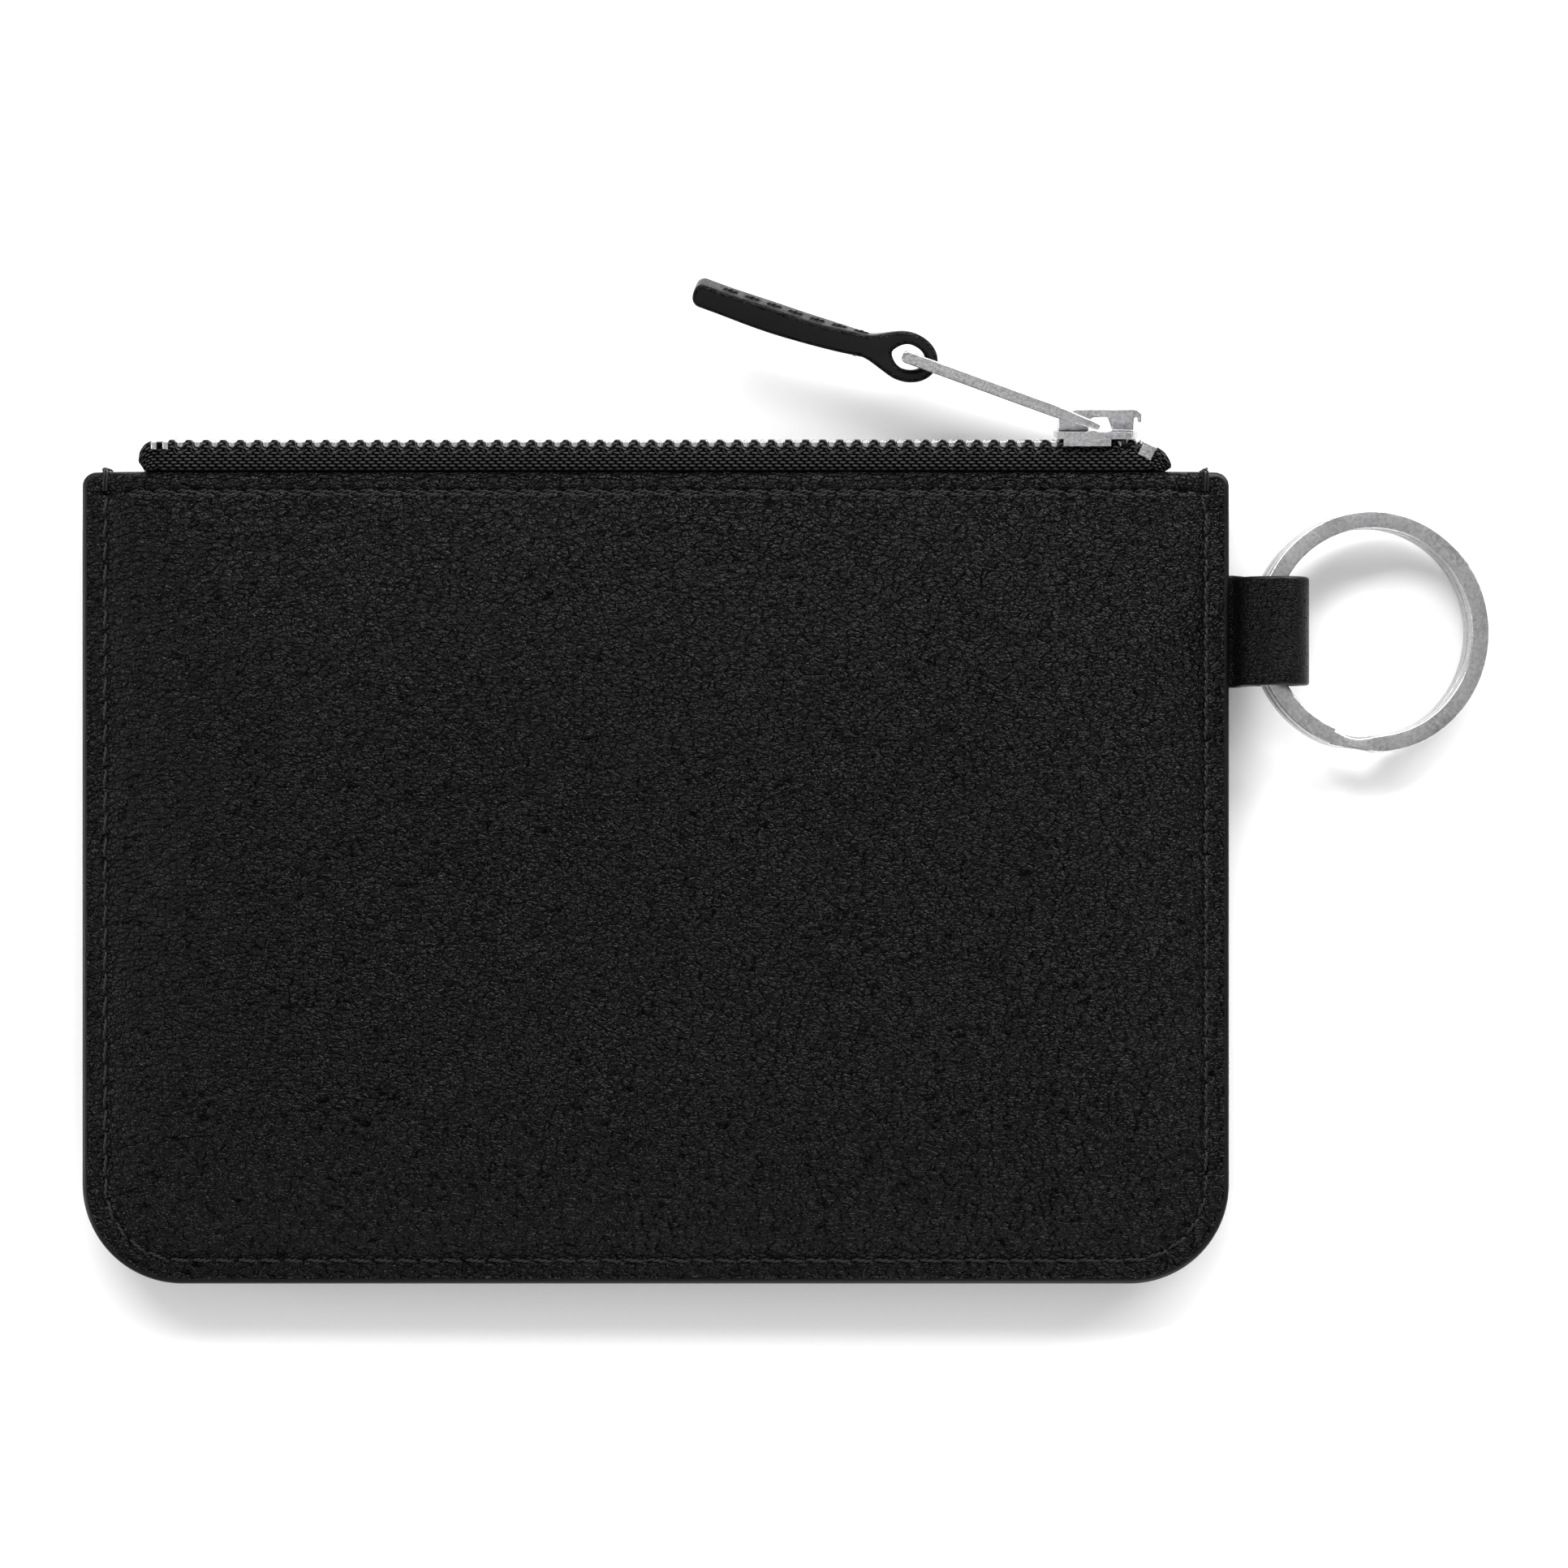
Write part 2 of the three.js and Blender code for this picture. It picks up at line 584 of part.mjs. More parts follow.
// The leather strap: folded round the pull's outer bar, its two plies sewn together.
function puller() {
  const [t, h, wall] = [STRAP_HALF_THICKNESS, EYE_HALF_HEIGHT, EYE_WALL];
  const eyeEnd = EYE_BACK + EYE_TAPER;
  const shape = new THREE.Shape();
  shape.moveTo(STRAP_LENGTH - t, -t);
  shape.absarc(STRAP_LENGTH - t, 0, t, -Math.PI / 2, Math.PI / 2);
  shape.lineTo(eyeEnd, t);
  shape.bezierCurveTo(EYE_BACK + 1, t, EYE_BACK, h, 0, h);
  shape.absellipse(0, 0, EYE_FRONT, h, Math.PI / 2, (3 * Math.PI) / 2);
  shape.bezierCurveTo(EYE_BACK, -h, EYE_BACK + 1, -t, eyeEnd, -t);
  const hole = new THREE.Path();
  hole.moveTo(EYE_BACK, 0);
  hole.bezierCurveTo(EYE_BACK - 0.4, wall - h, EYE_BACK - 0.9, wall - h, 0, wall - h);
  hole.absellipse(0, 0, EYE_FRONT - wall, h - wall, -Math.PI / 2, Math.PI / 2, true);
  hole.bezierCurveTo(EYE_BACK - 0.9, h - wall, EYE_BACK - 0.4, h - wall, EYE_BACK, 0);
  shape.holes.push(hole);
  return acrossZ(shape, STRAP_HALF_WIDTH, 6);
}

// The needle thread lies along one face of the strap and the bobbin thread along the other.
const PULLER_STITCHES = [5.5, STRAP_LENGTH - 2.5];
function pullerThread(sign) {
  const y = sign * (STRAP_HALF_THICKNESS + THREAD_STANDOFF + THREAD_RADIUS);
  const [from, to] = PULLER_STITCHES;
  return block([from, y - THREAD_RADIUS, -THREAD_RADIUS], [to, y + THREAD_RADIUS, THREAD_RADIUS]);
}

const pull = new THREE.Group();
pull.position.set(PULL_PIVOT.x, PULL_PIVOT.y, 0);
pull.rotation.z = Math.PI - PULL_LIFT;
const strap = new THREE.Group();
strap.position.x = STRAP_PIVOT;
strap.rotation.z = STRAP_TURN;
strap.add(
  named("puller_leather", puller(), strapLeather),
  named("puller_needle_thread", pullerThread(1), thread),
  named("puller_bobbin_thread", pullerThread(-1), thread),
);
pull.add(named("pull_tab", pullTab(), nickel), strap);
zip.add(pull);

// ---- The key loop, in a frame whose x rises out of the seam ----

const NECK_LENGTH = 0.4;
const THROAT = 1.5; // where the neck starts to open round the ring
function keyLoop() {
  const outer = TUNNEL_RADIUS + LOOP_LEATHER;
  const neck = LOOP_NECK_HALF;
  const shape = new THREE.Shape();
  shape.absarc(0, 0, neck, Math.PI / 2, (3 * Math.PI) / 2);
  shape.lineTo(NECK_LENGTH, -neck);
  shape.quadraticCurveTo(THROAT, -outer, TUNNEL_NEAR, -outer);
  shape.absarc(TUNNEL_FAR, 0, outer, -Math.PI / 2, Math.PI / 2);
  shape.lineTo(TUNNEL_NEAR, outer);
  shape.quadraticCurveTo(THROAT, outer, NECK_LENGTH, neck);
  const tunnel = new THREE.Path();
  tunnel.absarc(TUNNEL_NEAR, 0, TUNNEL_RADIUS, -Math.PI / 2, Math.PI / 2, true);
  tunnel.absarc(TUNNEL_FAR, 0, TUNNEL_RADIUS, Math.PI / 2, -Math.PI / 2, true);
  shape.holes.push(tunnel);
  return upY(shape, -LOOP_HALF_WIDTH, LOOP_HALF_WIDTH);
}

const loopTail = () =>
  block(
    [HALF_WIDTH - TAIL_LENGTH, LOOP_MIDDLE - LOOP_HALF_WIDTH, SEAM_LEVEL - TAIL_HALF_THICKNESS],
    [HALF_WIDTH, LOOP_MIDDLE + LOOP_HALF_WIDTH, SEAM_LEVEL + TAIL_HALF_THICKNESS],
  );

// The split ring: flat wire, one turn above the other, stepping down just before it meets its own start.
function splitRing() {
  const [inner, outer] = [RING_RADIUS - RING_WIRE_WIDTH, RING_RADIUS];
  const steps = Math.round(RING_SWEEP / RING_STEP);
  const rampEnd = 2 * Math.PI - RING_RAMP_LEAD;
  const sections = [];
  for (let i = 0; i <= steps; i++) {
    const turned = (i / steps) * RING_SWEEP;
    const angle = RING_START - turned;
    const down = THREE.MathUtils.smoothstep(turned, rampEnd - RING_RAMP, rampEnd);
    const level = lerp(RING_TURN_OFFSET, -RING_TURN_OFFSET, down);
    const half = RING_WIRE_THICKNESS / 2;
    const corners = [[inner, -half], [outer, -half], [outer, half], [inner, half]];
    sections.push(
      corners.map(
        ([r, dz]) =>
          new THREE.Vector3(RING_PIVOT_TO_CENTRE + r * Math.cos(angle), r * Math.sin(angle), level + dz),
      ),
    );
  }
  return loft(sections);
}

const loop = new THREE.Group();
loop.position.set(LOOP_PIVOT, LOOP_MIDDLE, SEAM_LEVEL);
loop.rotation.y = -LOOP_RISE;
const ring = new THREE.Group();
ring.position.x = TUNNEL_NEAR;
ring.rotation.y = LOOP_RISE + RING_DROOP;
ring.add(named("split_ring", splitRing(), steel));
loop.add(named("key_loop", keyLoop(), strapLeather), ring);

const purse = new THREE.Group();
purse.add(pouch, tapes, zip, loop, named("key_loop_tail", loopTail(), strapLeather));

export default purse;
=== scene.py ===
"""The looks of a zipped leather coin purse with a split key ring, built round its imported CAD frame."""

import json
import math

import bmesh
import bpy
import numpy as np
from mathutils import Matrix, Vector


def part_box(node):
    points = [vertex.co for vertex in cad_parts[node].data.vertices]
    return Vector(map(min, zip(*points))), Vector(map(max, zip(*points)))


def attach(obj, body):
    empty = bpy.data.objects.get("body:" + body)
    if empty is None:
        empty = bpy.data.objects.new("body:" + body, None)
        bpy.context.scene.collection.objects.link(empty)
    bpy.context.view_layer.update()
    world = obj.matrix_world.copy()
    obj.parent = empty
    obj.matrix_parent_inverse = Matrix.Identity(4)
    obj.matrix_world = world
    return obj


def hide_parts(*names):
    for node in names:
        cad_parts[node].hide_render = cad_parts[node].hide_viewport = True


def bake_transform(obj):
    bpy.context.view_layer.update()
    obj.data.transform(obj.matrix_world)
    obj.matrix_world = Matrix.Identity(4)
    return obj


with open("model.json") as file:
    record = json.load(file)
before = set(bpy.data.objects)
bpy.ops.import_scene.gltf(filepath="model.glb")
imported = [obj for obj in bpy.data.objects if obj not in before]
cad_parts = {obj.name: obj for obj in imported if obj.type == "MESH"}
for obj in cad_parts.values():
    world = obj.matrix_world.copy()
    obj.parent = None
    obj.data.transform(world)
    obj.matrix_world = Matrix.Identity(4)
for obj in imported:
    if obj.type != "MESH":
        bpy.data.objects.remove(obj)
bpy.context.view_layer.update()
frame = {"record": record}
MM = 0.001
JOINTS = {joint["name"]: joint for joint in frame["record"]["behaviour"]["joints"]}

# ---- Sizes in millimetres, as the frame has them ----

panel_low, panel_high = (np.array(corner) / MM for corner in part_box("front_panel"))
HALF_WIDTH = (panel_high[0] - panel_low[0]) / 2
HALF_HEIGHT = (panel_high[1] - panel_low[1]) / 2
SEAM_LEVEL = JOINTS["loop_flex"]["pos_m"][2] / MM
POUCH_DEPTH = panel_high[2]
SEAM_HALF = 1.65
MOUTH_HALF = 3.35
BOTTOM_RADIUS = 11.5
TOP_RADIUS = 1.6
LEATHER = 1.3
HEM = 1.8
MOUTH_STITCH_INSET = 2.3
SEAM_STITCH_INSET = 2.8
STITCH_PITCH = 2.62
TOOTH_PITCH = 1.97
CHAIN_START = -55.6
MESHED_END = 51.4
TAPE_HALF_LENGTH = 59.5

# ---- The camera: straight above, as the purse is seen lying on a table ----

FRAME_CENTRE = (14.8, 10.85)
FRAME_WIDTH = 181.4
CAMERA_HEIGHT = 450
SENSOR = 36


# A dim room with bright patches overhead, and soft boxes round the table: each one's place, what it
# faces, its size and its power.
HORIZON = 0.12
ZENITH = 1.15
BRIGHT_FROM = 0.35  # the height on the sky's dome where it starts to brighten
BRIGHT_BY = BRIGHT_FROM + 0.3
PATCHES = 8  # across the sky
PATCH_EDGE = (0.42, 0.56)  # the noise's values where a patch starts and is fully bright
LIGHTS = (
    ("key", (0.5, 0.62, 0.34), (0.02, 0.02, 0), (0.7, 0.3), 9),
    ("back", (-0.15, 0.62, 0.58), (0, 0, 0), (0.7, 0.2), 7),
    ("left", (-0.8, -0.1, 0.26), (0, 0, 0), (0.5, 0.25), 3),
    ("front", (0.3, -0.8, 0.26), (0, 0, 0), (0.7, 0.25), 3),
)


def add_camera():
    data = bpy.data.cameras.new("camera")
    data.sensor_width = SENSOR
    data.lens = SENSOR * CAMERA_HEIGHT / FRAME_WIDTH
    data.clip_start = 0.01
    camera = bpy.data.objects.new("camera", data)
    camera.location = (FRAME_CENTRE[0] * MM, FRAME_CENTRE[1] * MM, (CAMERA_HEIGHT + SEAM_LEVEL) * MM)
    bpy.context.collection.objects.link(camera)
    bpy.context.scene.camera = camera


def add_area_light(name, location, target, size, power):
    data = bpy.data.lights.new(name, "AREA")
    data.shape = "RECTANGLE"
    data.size, data.size_y = size
    data.energy = power
    light = bpy.data.objects.new(name, data)
    light.location = location
    aim = Vector(target) - Vector(location)
    light.rotation_euler = aim.to_track_quat("-Z", "Y").to_euler()
    bpy.context.collection.objects.link(light)


def add_studio():
    world = bpy.data.worlds.new("studio")
    world.use_nodes = True
    tree = world.node_tree
    direction = tree.nodes.new("ShaderNodeTexCoord").outputs["Generated"]
    height = tree.nodes.new("ShaderNodeSeparateXYZ")
    tree.links.new(direction, height.inputs["Vector"])
    patches = tree.nodes.new("ShaderNodeTexNoise")
    patches.inputs["Scale"].default_value = PATCHES
    patches.inputs["Detail"].default_value = 0.0
    tree.links.new(direction, patches.inputs["Vector"])
    glow = tree.nodes.new("ShaderNodeMapRange")
    glow.inputs["From Min"].default_value = PATCH_EDGE[0]
    glow.inputs["From Max"].default_value = PATCH_EDGE[1]
    glow.inputs["To Min"].default_value = HORIZON
    glow.inputs["To Max"].default_value = ZENITH
    tree.links.new(patches.outputs["Fac"], glow.inputs["Value"])
    sky = tree.nodes.new("ShaderNodeMapRange")
    sky.inputs["From Min"].default_value = BRIGHT_FROM
    sky.inputs["From Max"].default_value = BRIGHT_BY
    sky.inputs["To Min"].default_value = HORIZON
    tree.links.new(height.outputs["Z"], sky.inputs["Value"])
    tree.links.new(glow.outputs["Result"], sky.inputs["To Max"])
    tree.links.new(sky.outputs["Result"], tree.nodes["Background"].inputs["Strength"])
    tree.nodes["Background"].inputs["Color"].default_value = (1, 1, 1, 1)
    bpy.context.scene.world = world
    for name, *settings in LIGHTS:
        add_area_light(name, *settings)
    scene = bpy.context.scene
    scene.view_settings.view_transform = "Standard"
    bpy.ops.mesh.primitive_plane_add(size=6)
    floor = bpy.context.object
    floor.name = "floor"
    floor.location.z = -0.0001
    floor.data.materials.append(floor_material())


# ---- Materials ----


class Nodes:
    """A short way to wire a procedural material around one Principled shader."""

    def __init__(self, name, color, roughness, metallic=0.0):
        self.material = bpy.data.materials.new(name)
        self.material.use_nodes = True
        self.tree = self.material.node_tree
        self.shader = self.tree.nodes["Principled BSDF"]
        self.shader.inputs["Base Color"].default_value = (*color, 1)
        self.shader.inputs["Roughness"].default_value = roughness
        self.shader.inputs["Metallic"].default_value = metallic
        self.place = self.tree.nodes.new("ShaderNodeTexCoord").outputs["Object"]

    def add(self, kind, values=None, **settings):
        node = self.tree.nodes.new("ShaderNode" + kind)
        for key, value in settings.items():
            setattr(node, key, value)
        for key, value in (values or {}).items():
            if isinstance(value, bpy.types.NodeSocket):
                self.tree.links.new(value, node.inputs[key])
            else:
                node.inputs[key].default_value = value
        return node

    def math(self, operation, a, b=0.0):
        return self.add("Math", {0: a, 1: b}, operation=operation).outputs[0]

    def scaled(self, scale, turn=0.0, source=None):
        """Object coordinates, turned about Z and scaled to cells per metre."""
        values = {"Vector": source or self.place, "Rotation": (0, 0, turn), "Scale": scale}
        return self.add("Mapping", values).outputs["Vector"]

    def noise(self, place, scale, detail=3.0, roughness=0.5):
        values = {"Vector": place, "Scale": scale, "Detail": detail, "Roughness": roughness}
        return self.add("TexNoise", values).outputs["Fac"]

    def ramp(self, value, low, high, to_low=0.0, to_high=1.0):
        values = {"Value": value, "From Min": low, "From Max": high, "To Min": to_low, "To Max": to_high}
        return self.add("MapRange", values).outputs["Result"]

    def mix(self, factor, low, high):
        values = {"Factor": factor, "A": (*low, 1), "B": (*high, 1)}
        node = self.add("Mix", data_type="RGBA")
        node.inputs["Factor"].default_value = 0
        self.tree.links.new(factor, node.inputs["Factor"])
        node.inputs[6].default_value = values["A"]
        node.inputs[7].default_value = values["B"]
        return node.outputs[2]

    def wire(self, socket, value):
        self.tree.links.new(value, self.shader.inputs[socket])

    def bump(self, height, distance, strength=1.0):
        node = self.add("Bump", {"Height": height, "Distance": distance, "Strength": strength})
        self.wire("Normal", node.outputs["Normal"])


def creases(m, place, length_mm, width_mm, turn, line):
    """A net of fine creases: 1 on the flats between them and 0 in their depths."""
    cells = m.scaled((1000 / length_mm, 1000 / width_mm, 1000 / width_mm), turn, place)
    net = m.add("TexVoronoi", {"Vector": cells, "Scale": 1.0}, feature="DISTANCE_TO_EDGE")
    return m.ramp(net.outputs["Distance"], 0.0, line)


def grain_height(m, cell_mm, turn):
    """Leather grain: long fine creases one way, shorter ones across them, and a fine tooth over all."""
    warp = m.add("TexNoise", {"Vector": m.place, "Scale": 320.0, "Detail": 2.0}).outputs["Color"]
    pulled = m.add("VectorMath", {0: warp, "Scale": 0.0011 * cell_mm}, operation="SCALE").outputs["Vector"]
    place = m.add("VectorMath", {0: m.place, 1: pulled}, operation="ADD").outputs["Vector"]
    long = creases(m, place, 1.6 * cell_mm, 0.8 * cell_mm, turn, 0.13)
    across = creases(m, place, 1.1 * cell_mm, 0.5 * cell_mm, turn + 1.15, 0.16)
    tooth = m.noise(place, 2700 / cell_mm, 1, 0.5)
    height = m.math("ADD", m.math("MULTIPLY", long, 0.55), m.math("MULTIPLY", across, 0.25))
    return m.math("ADD", height, m.math("MULTIPLY", tooth, 0.9)), long


def leather_material(name, cell_mm, depth, roughness, color, turn):
    m = Nodes(name, color, roughness)
    height, flats = grain_height(m, cell_mm, turn)
    m.wire("Specular IOR Level", m.ramp(height, 0.55, 1.15, 0.01, 0.13))
    wear = m.noise(m.place, 45, 4, 0.6)
    m.wire("Roughness", m.ramp(wear, 0.3, 0.7, roughness - 0.05, roughness + 0.08))
    # Painted shade: the base colour falls to 0.4 of itself down in the creases' depths, where the bump cuts
    # its valleys.
    m.wire("Base Color", m.mix(flats, tuple(c * 0.4 for c in color), color))
    m.bump(height, depth * MM)
    return m.material


def edge_paint_material():
    m = Nodes("edge_paint", (0.004, 0.004, 0.0042), 0.38)
    fine = m.noise(m.place, 2500, 3)
    m.wire("Roughness", m.ramp(m.noise(m.place, 160, 2), 0.3, 0.7, 0.32, 0.46))
    m.wire("Base Color", m.mix(fine, (0.0012, 0.0012, 0.0012), (0.003, 0.003, 0.0031)))
    m.shader.inputs["Specular IOR Level"].default_value = 0.22
    m.bump(fine, 0.02 * MM)
    return m.material


def thread_material():
    m = Nodes("waxed_thread", (0.008, 0.008, 0.0082), 0.5)
    fibres = m.noise(m.place, 6000, 2)
    m.wire("Base Color", m.mix(fibres, (0.0015, 0.0015, 0.0015), (0.007, 0.007, 0.0072)))
    m.wire("Roughness", m.ramp(fibres, 0.3, 0.7, 0.42, 0.6))
    m.shader.inputs["Sheen Weight"].default_value = 0.06
    m.shader.inputs["Specular IOR Level"].default_value = 0.25
    m.bump(fibres, 0.03 * MM)
    return m.material


def tape_material():
    m = Nodes("woven_tape", (0.008, 0.008, 0.0082), 0.55)
    yarn = m.noise(m.place, 3500, 3, 0.7)
    dye = m.noise(m.place, 500, 2)
    lit = m.math("MULTIPLY", m.add("Attribute", attribute_name="relief").outputs["Fac"], yarn)
    # Painted shade and highlight: the base colour is near black in the gaps between the yarns and lighter on
    # the yarns' raised tops.
    m.wire("Base Color", m.mix(m.ramp(lit, 0.05, 0.45), (0.0006, 0.0006, 0.0006), (0.022, 0.022, 0.0225)))
    m.wire("Specular IOR Level", m.ramp(lit, 0.05, 0.45, 0.01, 0.4))
    m.wire("Roughness", m.ramp(dye, 0.3, 0.7, 0.42, 0.6))
    m.shader.inputs["Sheen Weight"].default_value = 0.04
    m.shader.inputs["Sheen Roughness"].default_value = 0.4
    m.bump(yarn, 0.05 * MM)
    return m.material


def lining_material():
    m = Nodes("woven_lining", (0.02, 0.02, 0.022), 0.85)
    across = m.add("TexWave", {"Vector": m.place, "Scale": 900.0, "Distortion": 0.6}, bands_direction="X")
    along = m.add("TexWave", {"Vector": m.place, "Scale": 900.0, "Distortion": 0.6}, bands_direction="Y")
    weave = m.math("MULTIPLY", across.outputs["Fac"], along.outputs["Fac"])
    m.wire("Base Color", m.mix(weave, (0.01, 0.01, 0.011), (0.03, 0.03, 0.033)))
    m.shader.inputs["Sheen Weight"].default_value = 0.2
    m.bump(weave, 0.08 * MM)
    return m.material


def metal_material(name, color, smooth, rough, speck_mm, depth, wave):
    """Plated or tumbled metal: fine pits and rubbed patches."""
    m = Nodes(name, color, smooth, 1.0)
    pits = m.noise(m.place, 1000 / speck_mm, 3, 0.65)
    rubbed = m.noise(m.place, 170, 3, 0.6)
    waves = m.noise(m.place, 750, 1)
    m.wire("Roughness", m.ramp(rubbed, 0.35, 0.65, smooth, rough))
    m.wire("Base Color", m.mix(m.ramp(pits, 0.3, 0.6), tuple(c * 0.7 for c in color), color))
    m.bump(m.math("ADD", m.math("MULTIPLY", waves, wave), pits), depth * MM)
    return m.material


def floor_material():
    m = Nodes("pale_floor", (0.93, 0.93, 0.93), 0.9)
    m.shader.inputs["Specular IOR Level"].default_value = 0.0
    return m.material


PANEL_LEATHER = leather_material("pebbled_leather", 0.78, 0.15, 0.22, (0.0016, 0.0016, 0.0017), 0.62)
STRAP_LEATHER = leather_material("strap_leather", 0.55, 0.07, 0.26, (0.0016, 0.0016, 0.0017), 1.2)
EDGE_PAINT = edge_paint_material()
THREAD = thread_material()
TAPE = tape_material()
LINING = lining_material()
NICKEL = metal_material("nickel_plate", (0.6, 0.6, 0.61), 0.14, 0.28, 0.3, 0.02, 4)
STEEL = metal_material("tumbled_steel", (0.55, 0.55, 0.56), 0.22, 0.36, 0.4, 0.02, 3)

# ---- Meshes ----


def mesh_object(name, vertices, faces, materials, smooth=True, face_materials=None):
    mesh = bpy.data.meshes.new(name)
    mesh.from_pydata((np.asarray(vertices) * MM).tolist(), [], [list(map(int, face)) for face in faces])
    for material in materials:
        mesh.materials.append(material)
    mesh.polygons.foreach_set("use_smooth", [smooth] * len(mesh.polygons))
    if face_materials is not None:
        mesh.polygons.foreach_set("material_index", face_materials)
    mesh.update()
    thing = bpy.data.objects.new(name, mesh)
    bpy.context.collection.objects.link(thing)
    return thing


def grid_faces(rows, columns, closed=True):
    """Quads between rows of points, each row closing on itself or not."""
    last = columns if closed else columns - 1
    r, c = np.meshgrid(np.arange(rows - 1), np.arange(last), indexing="ij")
    a = (r * columns + c).ravel()
    b = (r * columns + (c + 1) % columns).ravel()
    return np.stack([a, b, b + columns, a + columns], axis=1)


class Skin:
    """Vertices and faces gathered from several pieces of one mesh."""

    def __init__(self):
        self.vertices = []
        self.faces = []
        self.count = 0

    def add(self, vertices, faces):
        self.faces += [[int(i) + self.count for i in face] for face in faces]
        self.vertices.append(np.asarray(vertices, float))
        self.count += len(vertices)

    def tube(self, path, radius, sides=6):
        """A closed tube along a path, its radius one number or one for each point."""
        path = np.asarray(path, float)
        along = np.gradient(path, axis=0)
        along /= np.linalg.norm(along, axis=1)[:, None]
        up = np.array([0.13, 0.21, 1.0])
        right = np.cross(along, up)
        right /= np.linalg.norm(right, axis=1)[:, None]
        over = np.cross(right, along)
        radii = np.broadcast_to(radius, len(path))[:, None]
        rows = []
        for k in range(sides):
            angle = 2 * math.pi * k / sides
            rows.append(path + radii * (math.cos(angle) * right + math.sin(angle) * over))
        vertices = np.stack(rows, axis=1).reshape(-1, 3)
        faces = [list(face) for face in grid_faces(len(path), sides)]
        faces.append(list(range(sides))[::-1])
        faces.append(list(range((len(path) - 1) * sides, len(path) * sides)))
        self.add(vertices, faces)

    def object(self, name, materials, **options):
        thing = mesh_object(name, np.concatenate(self.vertices), self.faces, materials, **options)
        outward(thing)
        return thing


def outward(thing):
    """Turn every face of a closed mesh outwards."""
    mesh = bmesh.new()
    mesh.from_mesh(thing.data)
    bmesh.ops.recalc_face_normals(mesh, faces=mesh.faces)
    mesh.to_mesh(thing.data)
    mesh.free()


def finish_piece(piece, body, nodes):
    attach(piece, body)
    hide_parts(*nodes)


# ---- The pouch's shape ----

FRONT = {"sign": 1, "fullest": POUCH_DEPTH - SEAM_LEVEL, "side": 24.0, "mouth": 34.0}
BACK = {"sign": -1, "fullest": SEAM_LEVEL, "side": 17.0, "mouth": 22.0}
MOUTH_END_REACH = 9.0
SEWN_FLAT = 5.0
# Soft hollows and rises of the hand-worn panel: x, y, height, radius.
DENTS = ((-30, 5, -0.14, 17), (28, -12, -0.16, 20), (36, 24, 0.12, 15), (-8, -26, 0.1, 18), (2, 20, 0.08, 14))


def smoothstep(low, high, value):
    t = np.clip((value - low) / (high - low), 0, 1)
    return t * t * (3 - 2 * t)


def swell(distance, reach):
    t = np.clip(distance / reach, 0, 1)
    return t * (2 - t)


def from_seam(x, y):
    across = np.abs(x) - (HALF_WIDTH - BOTTOM_RADIUS)
    down = -y - (HALF_HEIGHT - BOTTOM_RADIUS)
    arc = BOTTOM_RADIUS - np.hypot(across, down)
    straight = BOTTOM_RADIUS - np.maximum(across, down)
    return np.where((across > 0) & (down > 0), arc, straight)


def outer_half(side, x, y):
    """How far a side's outer face stands from the seam level, without its stitches."""
    opening = swell(HALF_HEIGHT - y, side["mouth"])
    reach = MOUTH_END_REACH + (side["side"] - MOUTH_END_REACH) * opening
    rise = MOUTH_HALF + (side["fullest"] - MOUTH_HALF) * opening - SEAM_HALF
    near_side = np.clip(reach - (HALF_WIDTH - np.abs(x)), 0, None) / reach
    near_bottom = np.clip(reach - (HALF_HEIGHT + y), 0, None) / reach
    pillow = (1 - near_side**2) * (1 - near_bottom**2)
    return SEAM_HALF + rise * pillow * smoothstep(-1, SEWN_FLAT, from_seam(x, y))


def dents(side, x, y):
    total = np.zeros_like(x)
    for cx, cy, height, radius in DENTS:
        total += height * np.exp(-((x - cx) ** 2 + (y - cy) ** 2) / radius**2)
    ripple = 0.05 * np.sin(x / 7.3 + 1.1) * np.sin(y / 9.1 + 0.4)
    return (total + ripple) * smoothstep(4, 20, from_seam(x, y)) * (1 if side["sign"] > 0 else 0.0)


def radii(inset):
    """The outline's top and bottom corner radii, moved in."""
    deep = max(inset - 3.0, 0)
    most = 0.8 * (HALF_HEIGHT - inset)
    top = max(TOP_RADIUS - inset, 0.4) + deep * 0.15
    bottom = max(BOTTOM_RADIUS - min(inset, 3.0) - deep * 0.12, 3.0)
    return min(top, most), min(bottom, most)


def outline(inset, step):
    """The pouch's outline moved in, anticlockwise from the right end of the mouth."""
    w, h = HALF_WIDTH - inset, HALF_HEIGHT - inset
    top, bottom = radii(inset)

    def arc(cx, cy, radius, quarter, count):
        angle = (quarter + np.arange(count) / count) * math.pi / 2
        return np.stack([cx + radius * np.cos(angle), cy + radius * np.sin(angle)], axis=1)

    def straight(a, b, count):
        return np.asarray(a) + (np.asarray(b) - a) * (np.arange(count) / count)[:, None]

    top_count = 8
    bottom_count = int(math.pi / 2 * BOTTOM_RADIUS / step)
    side_count = int((2 * HALF_HEIGHT - BOTTOM_RADIUS) / step)
    return np.concatenate([
        arc(w - top, h - top, top, 0, top_count),
        straight((w - top, h), (top - w, h), int(2 * HALF_WIDTH / step)),
        arc(top - w, h - top, top, 1, top_count),
        straight((-w, h - top), (-w, bottom - h), side_count),
        arc(bottom - w, bottom - h, bottom, 2, bottom_count),
        straight((bottom - w, -h), (w - bottom, -h), int(2 * (HALF_WIDTH - BOTTOM_RADIUS) / step)),
        arc(w - bottom, bottom - h, bottom, 3, bottom_count),
        straight((w, bottom - h), (w, h - top), side_count),
    ])


def on_mouth(x, y):
    """1 along the open mouth, 0 at its sewn ends and along the other seams."""
    return smoothstep(63.2, 60.5, np.abs(x)) * smoothstep(HALF_HEIGHT - 12, HALF_HEIGHT - 8, y)


def drop(inset, radius):
    """How far a rounded edge falls away towards its rim."""
    away = np.clip(radius - inset, 0, radius)
    return radius - np.sqrt(radius**2 - away**2)


EDGE_STRIP = 0.72
SEAM_LINE_STEP = 0.1


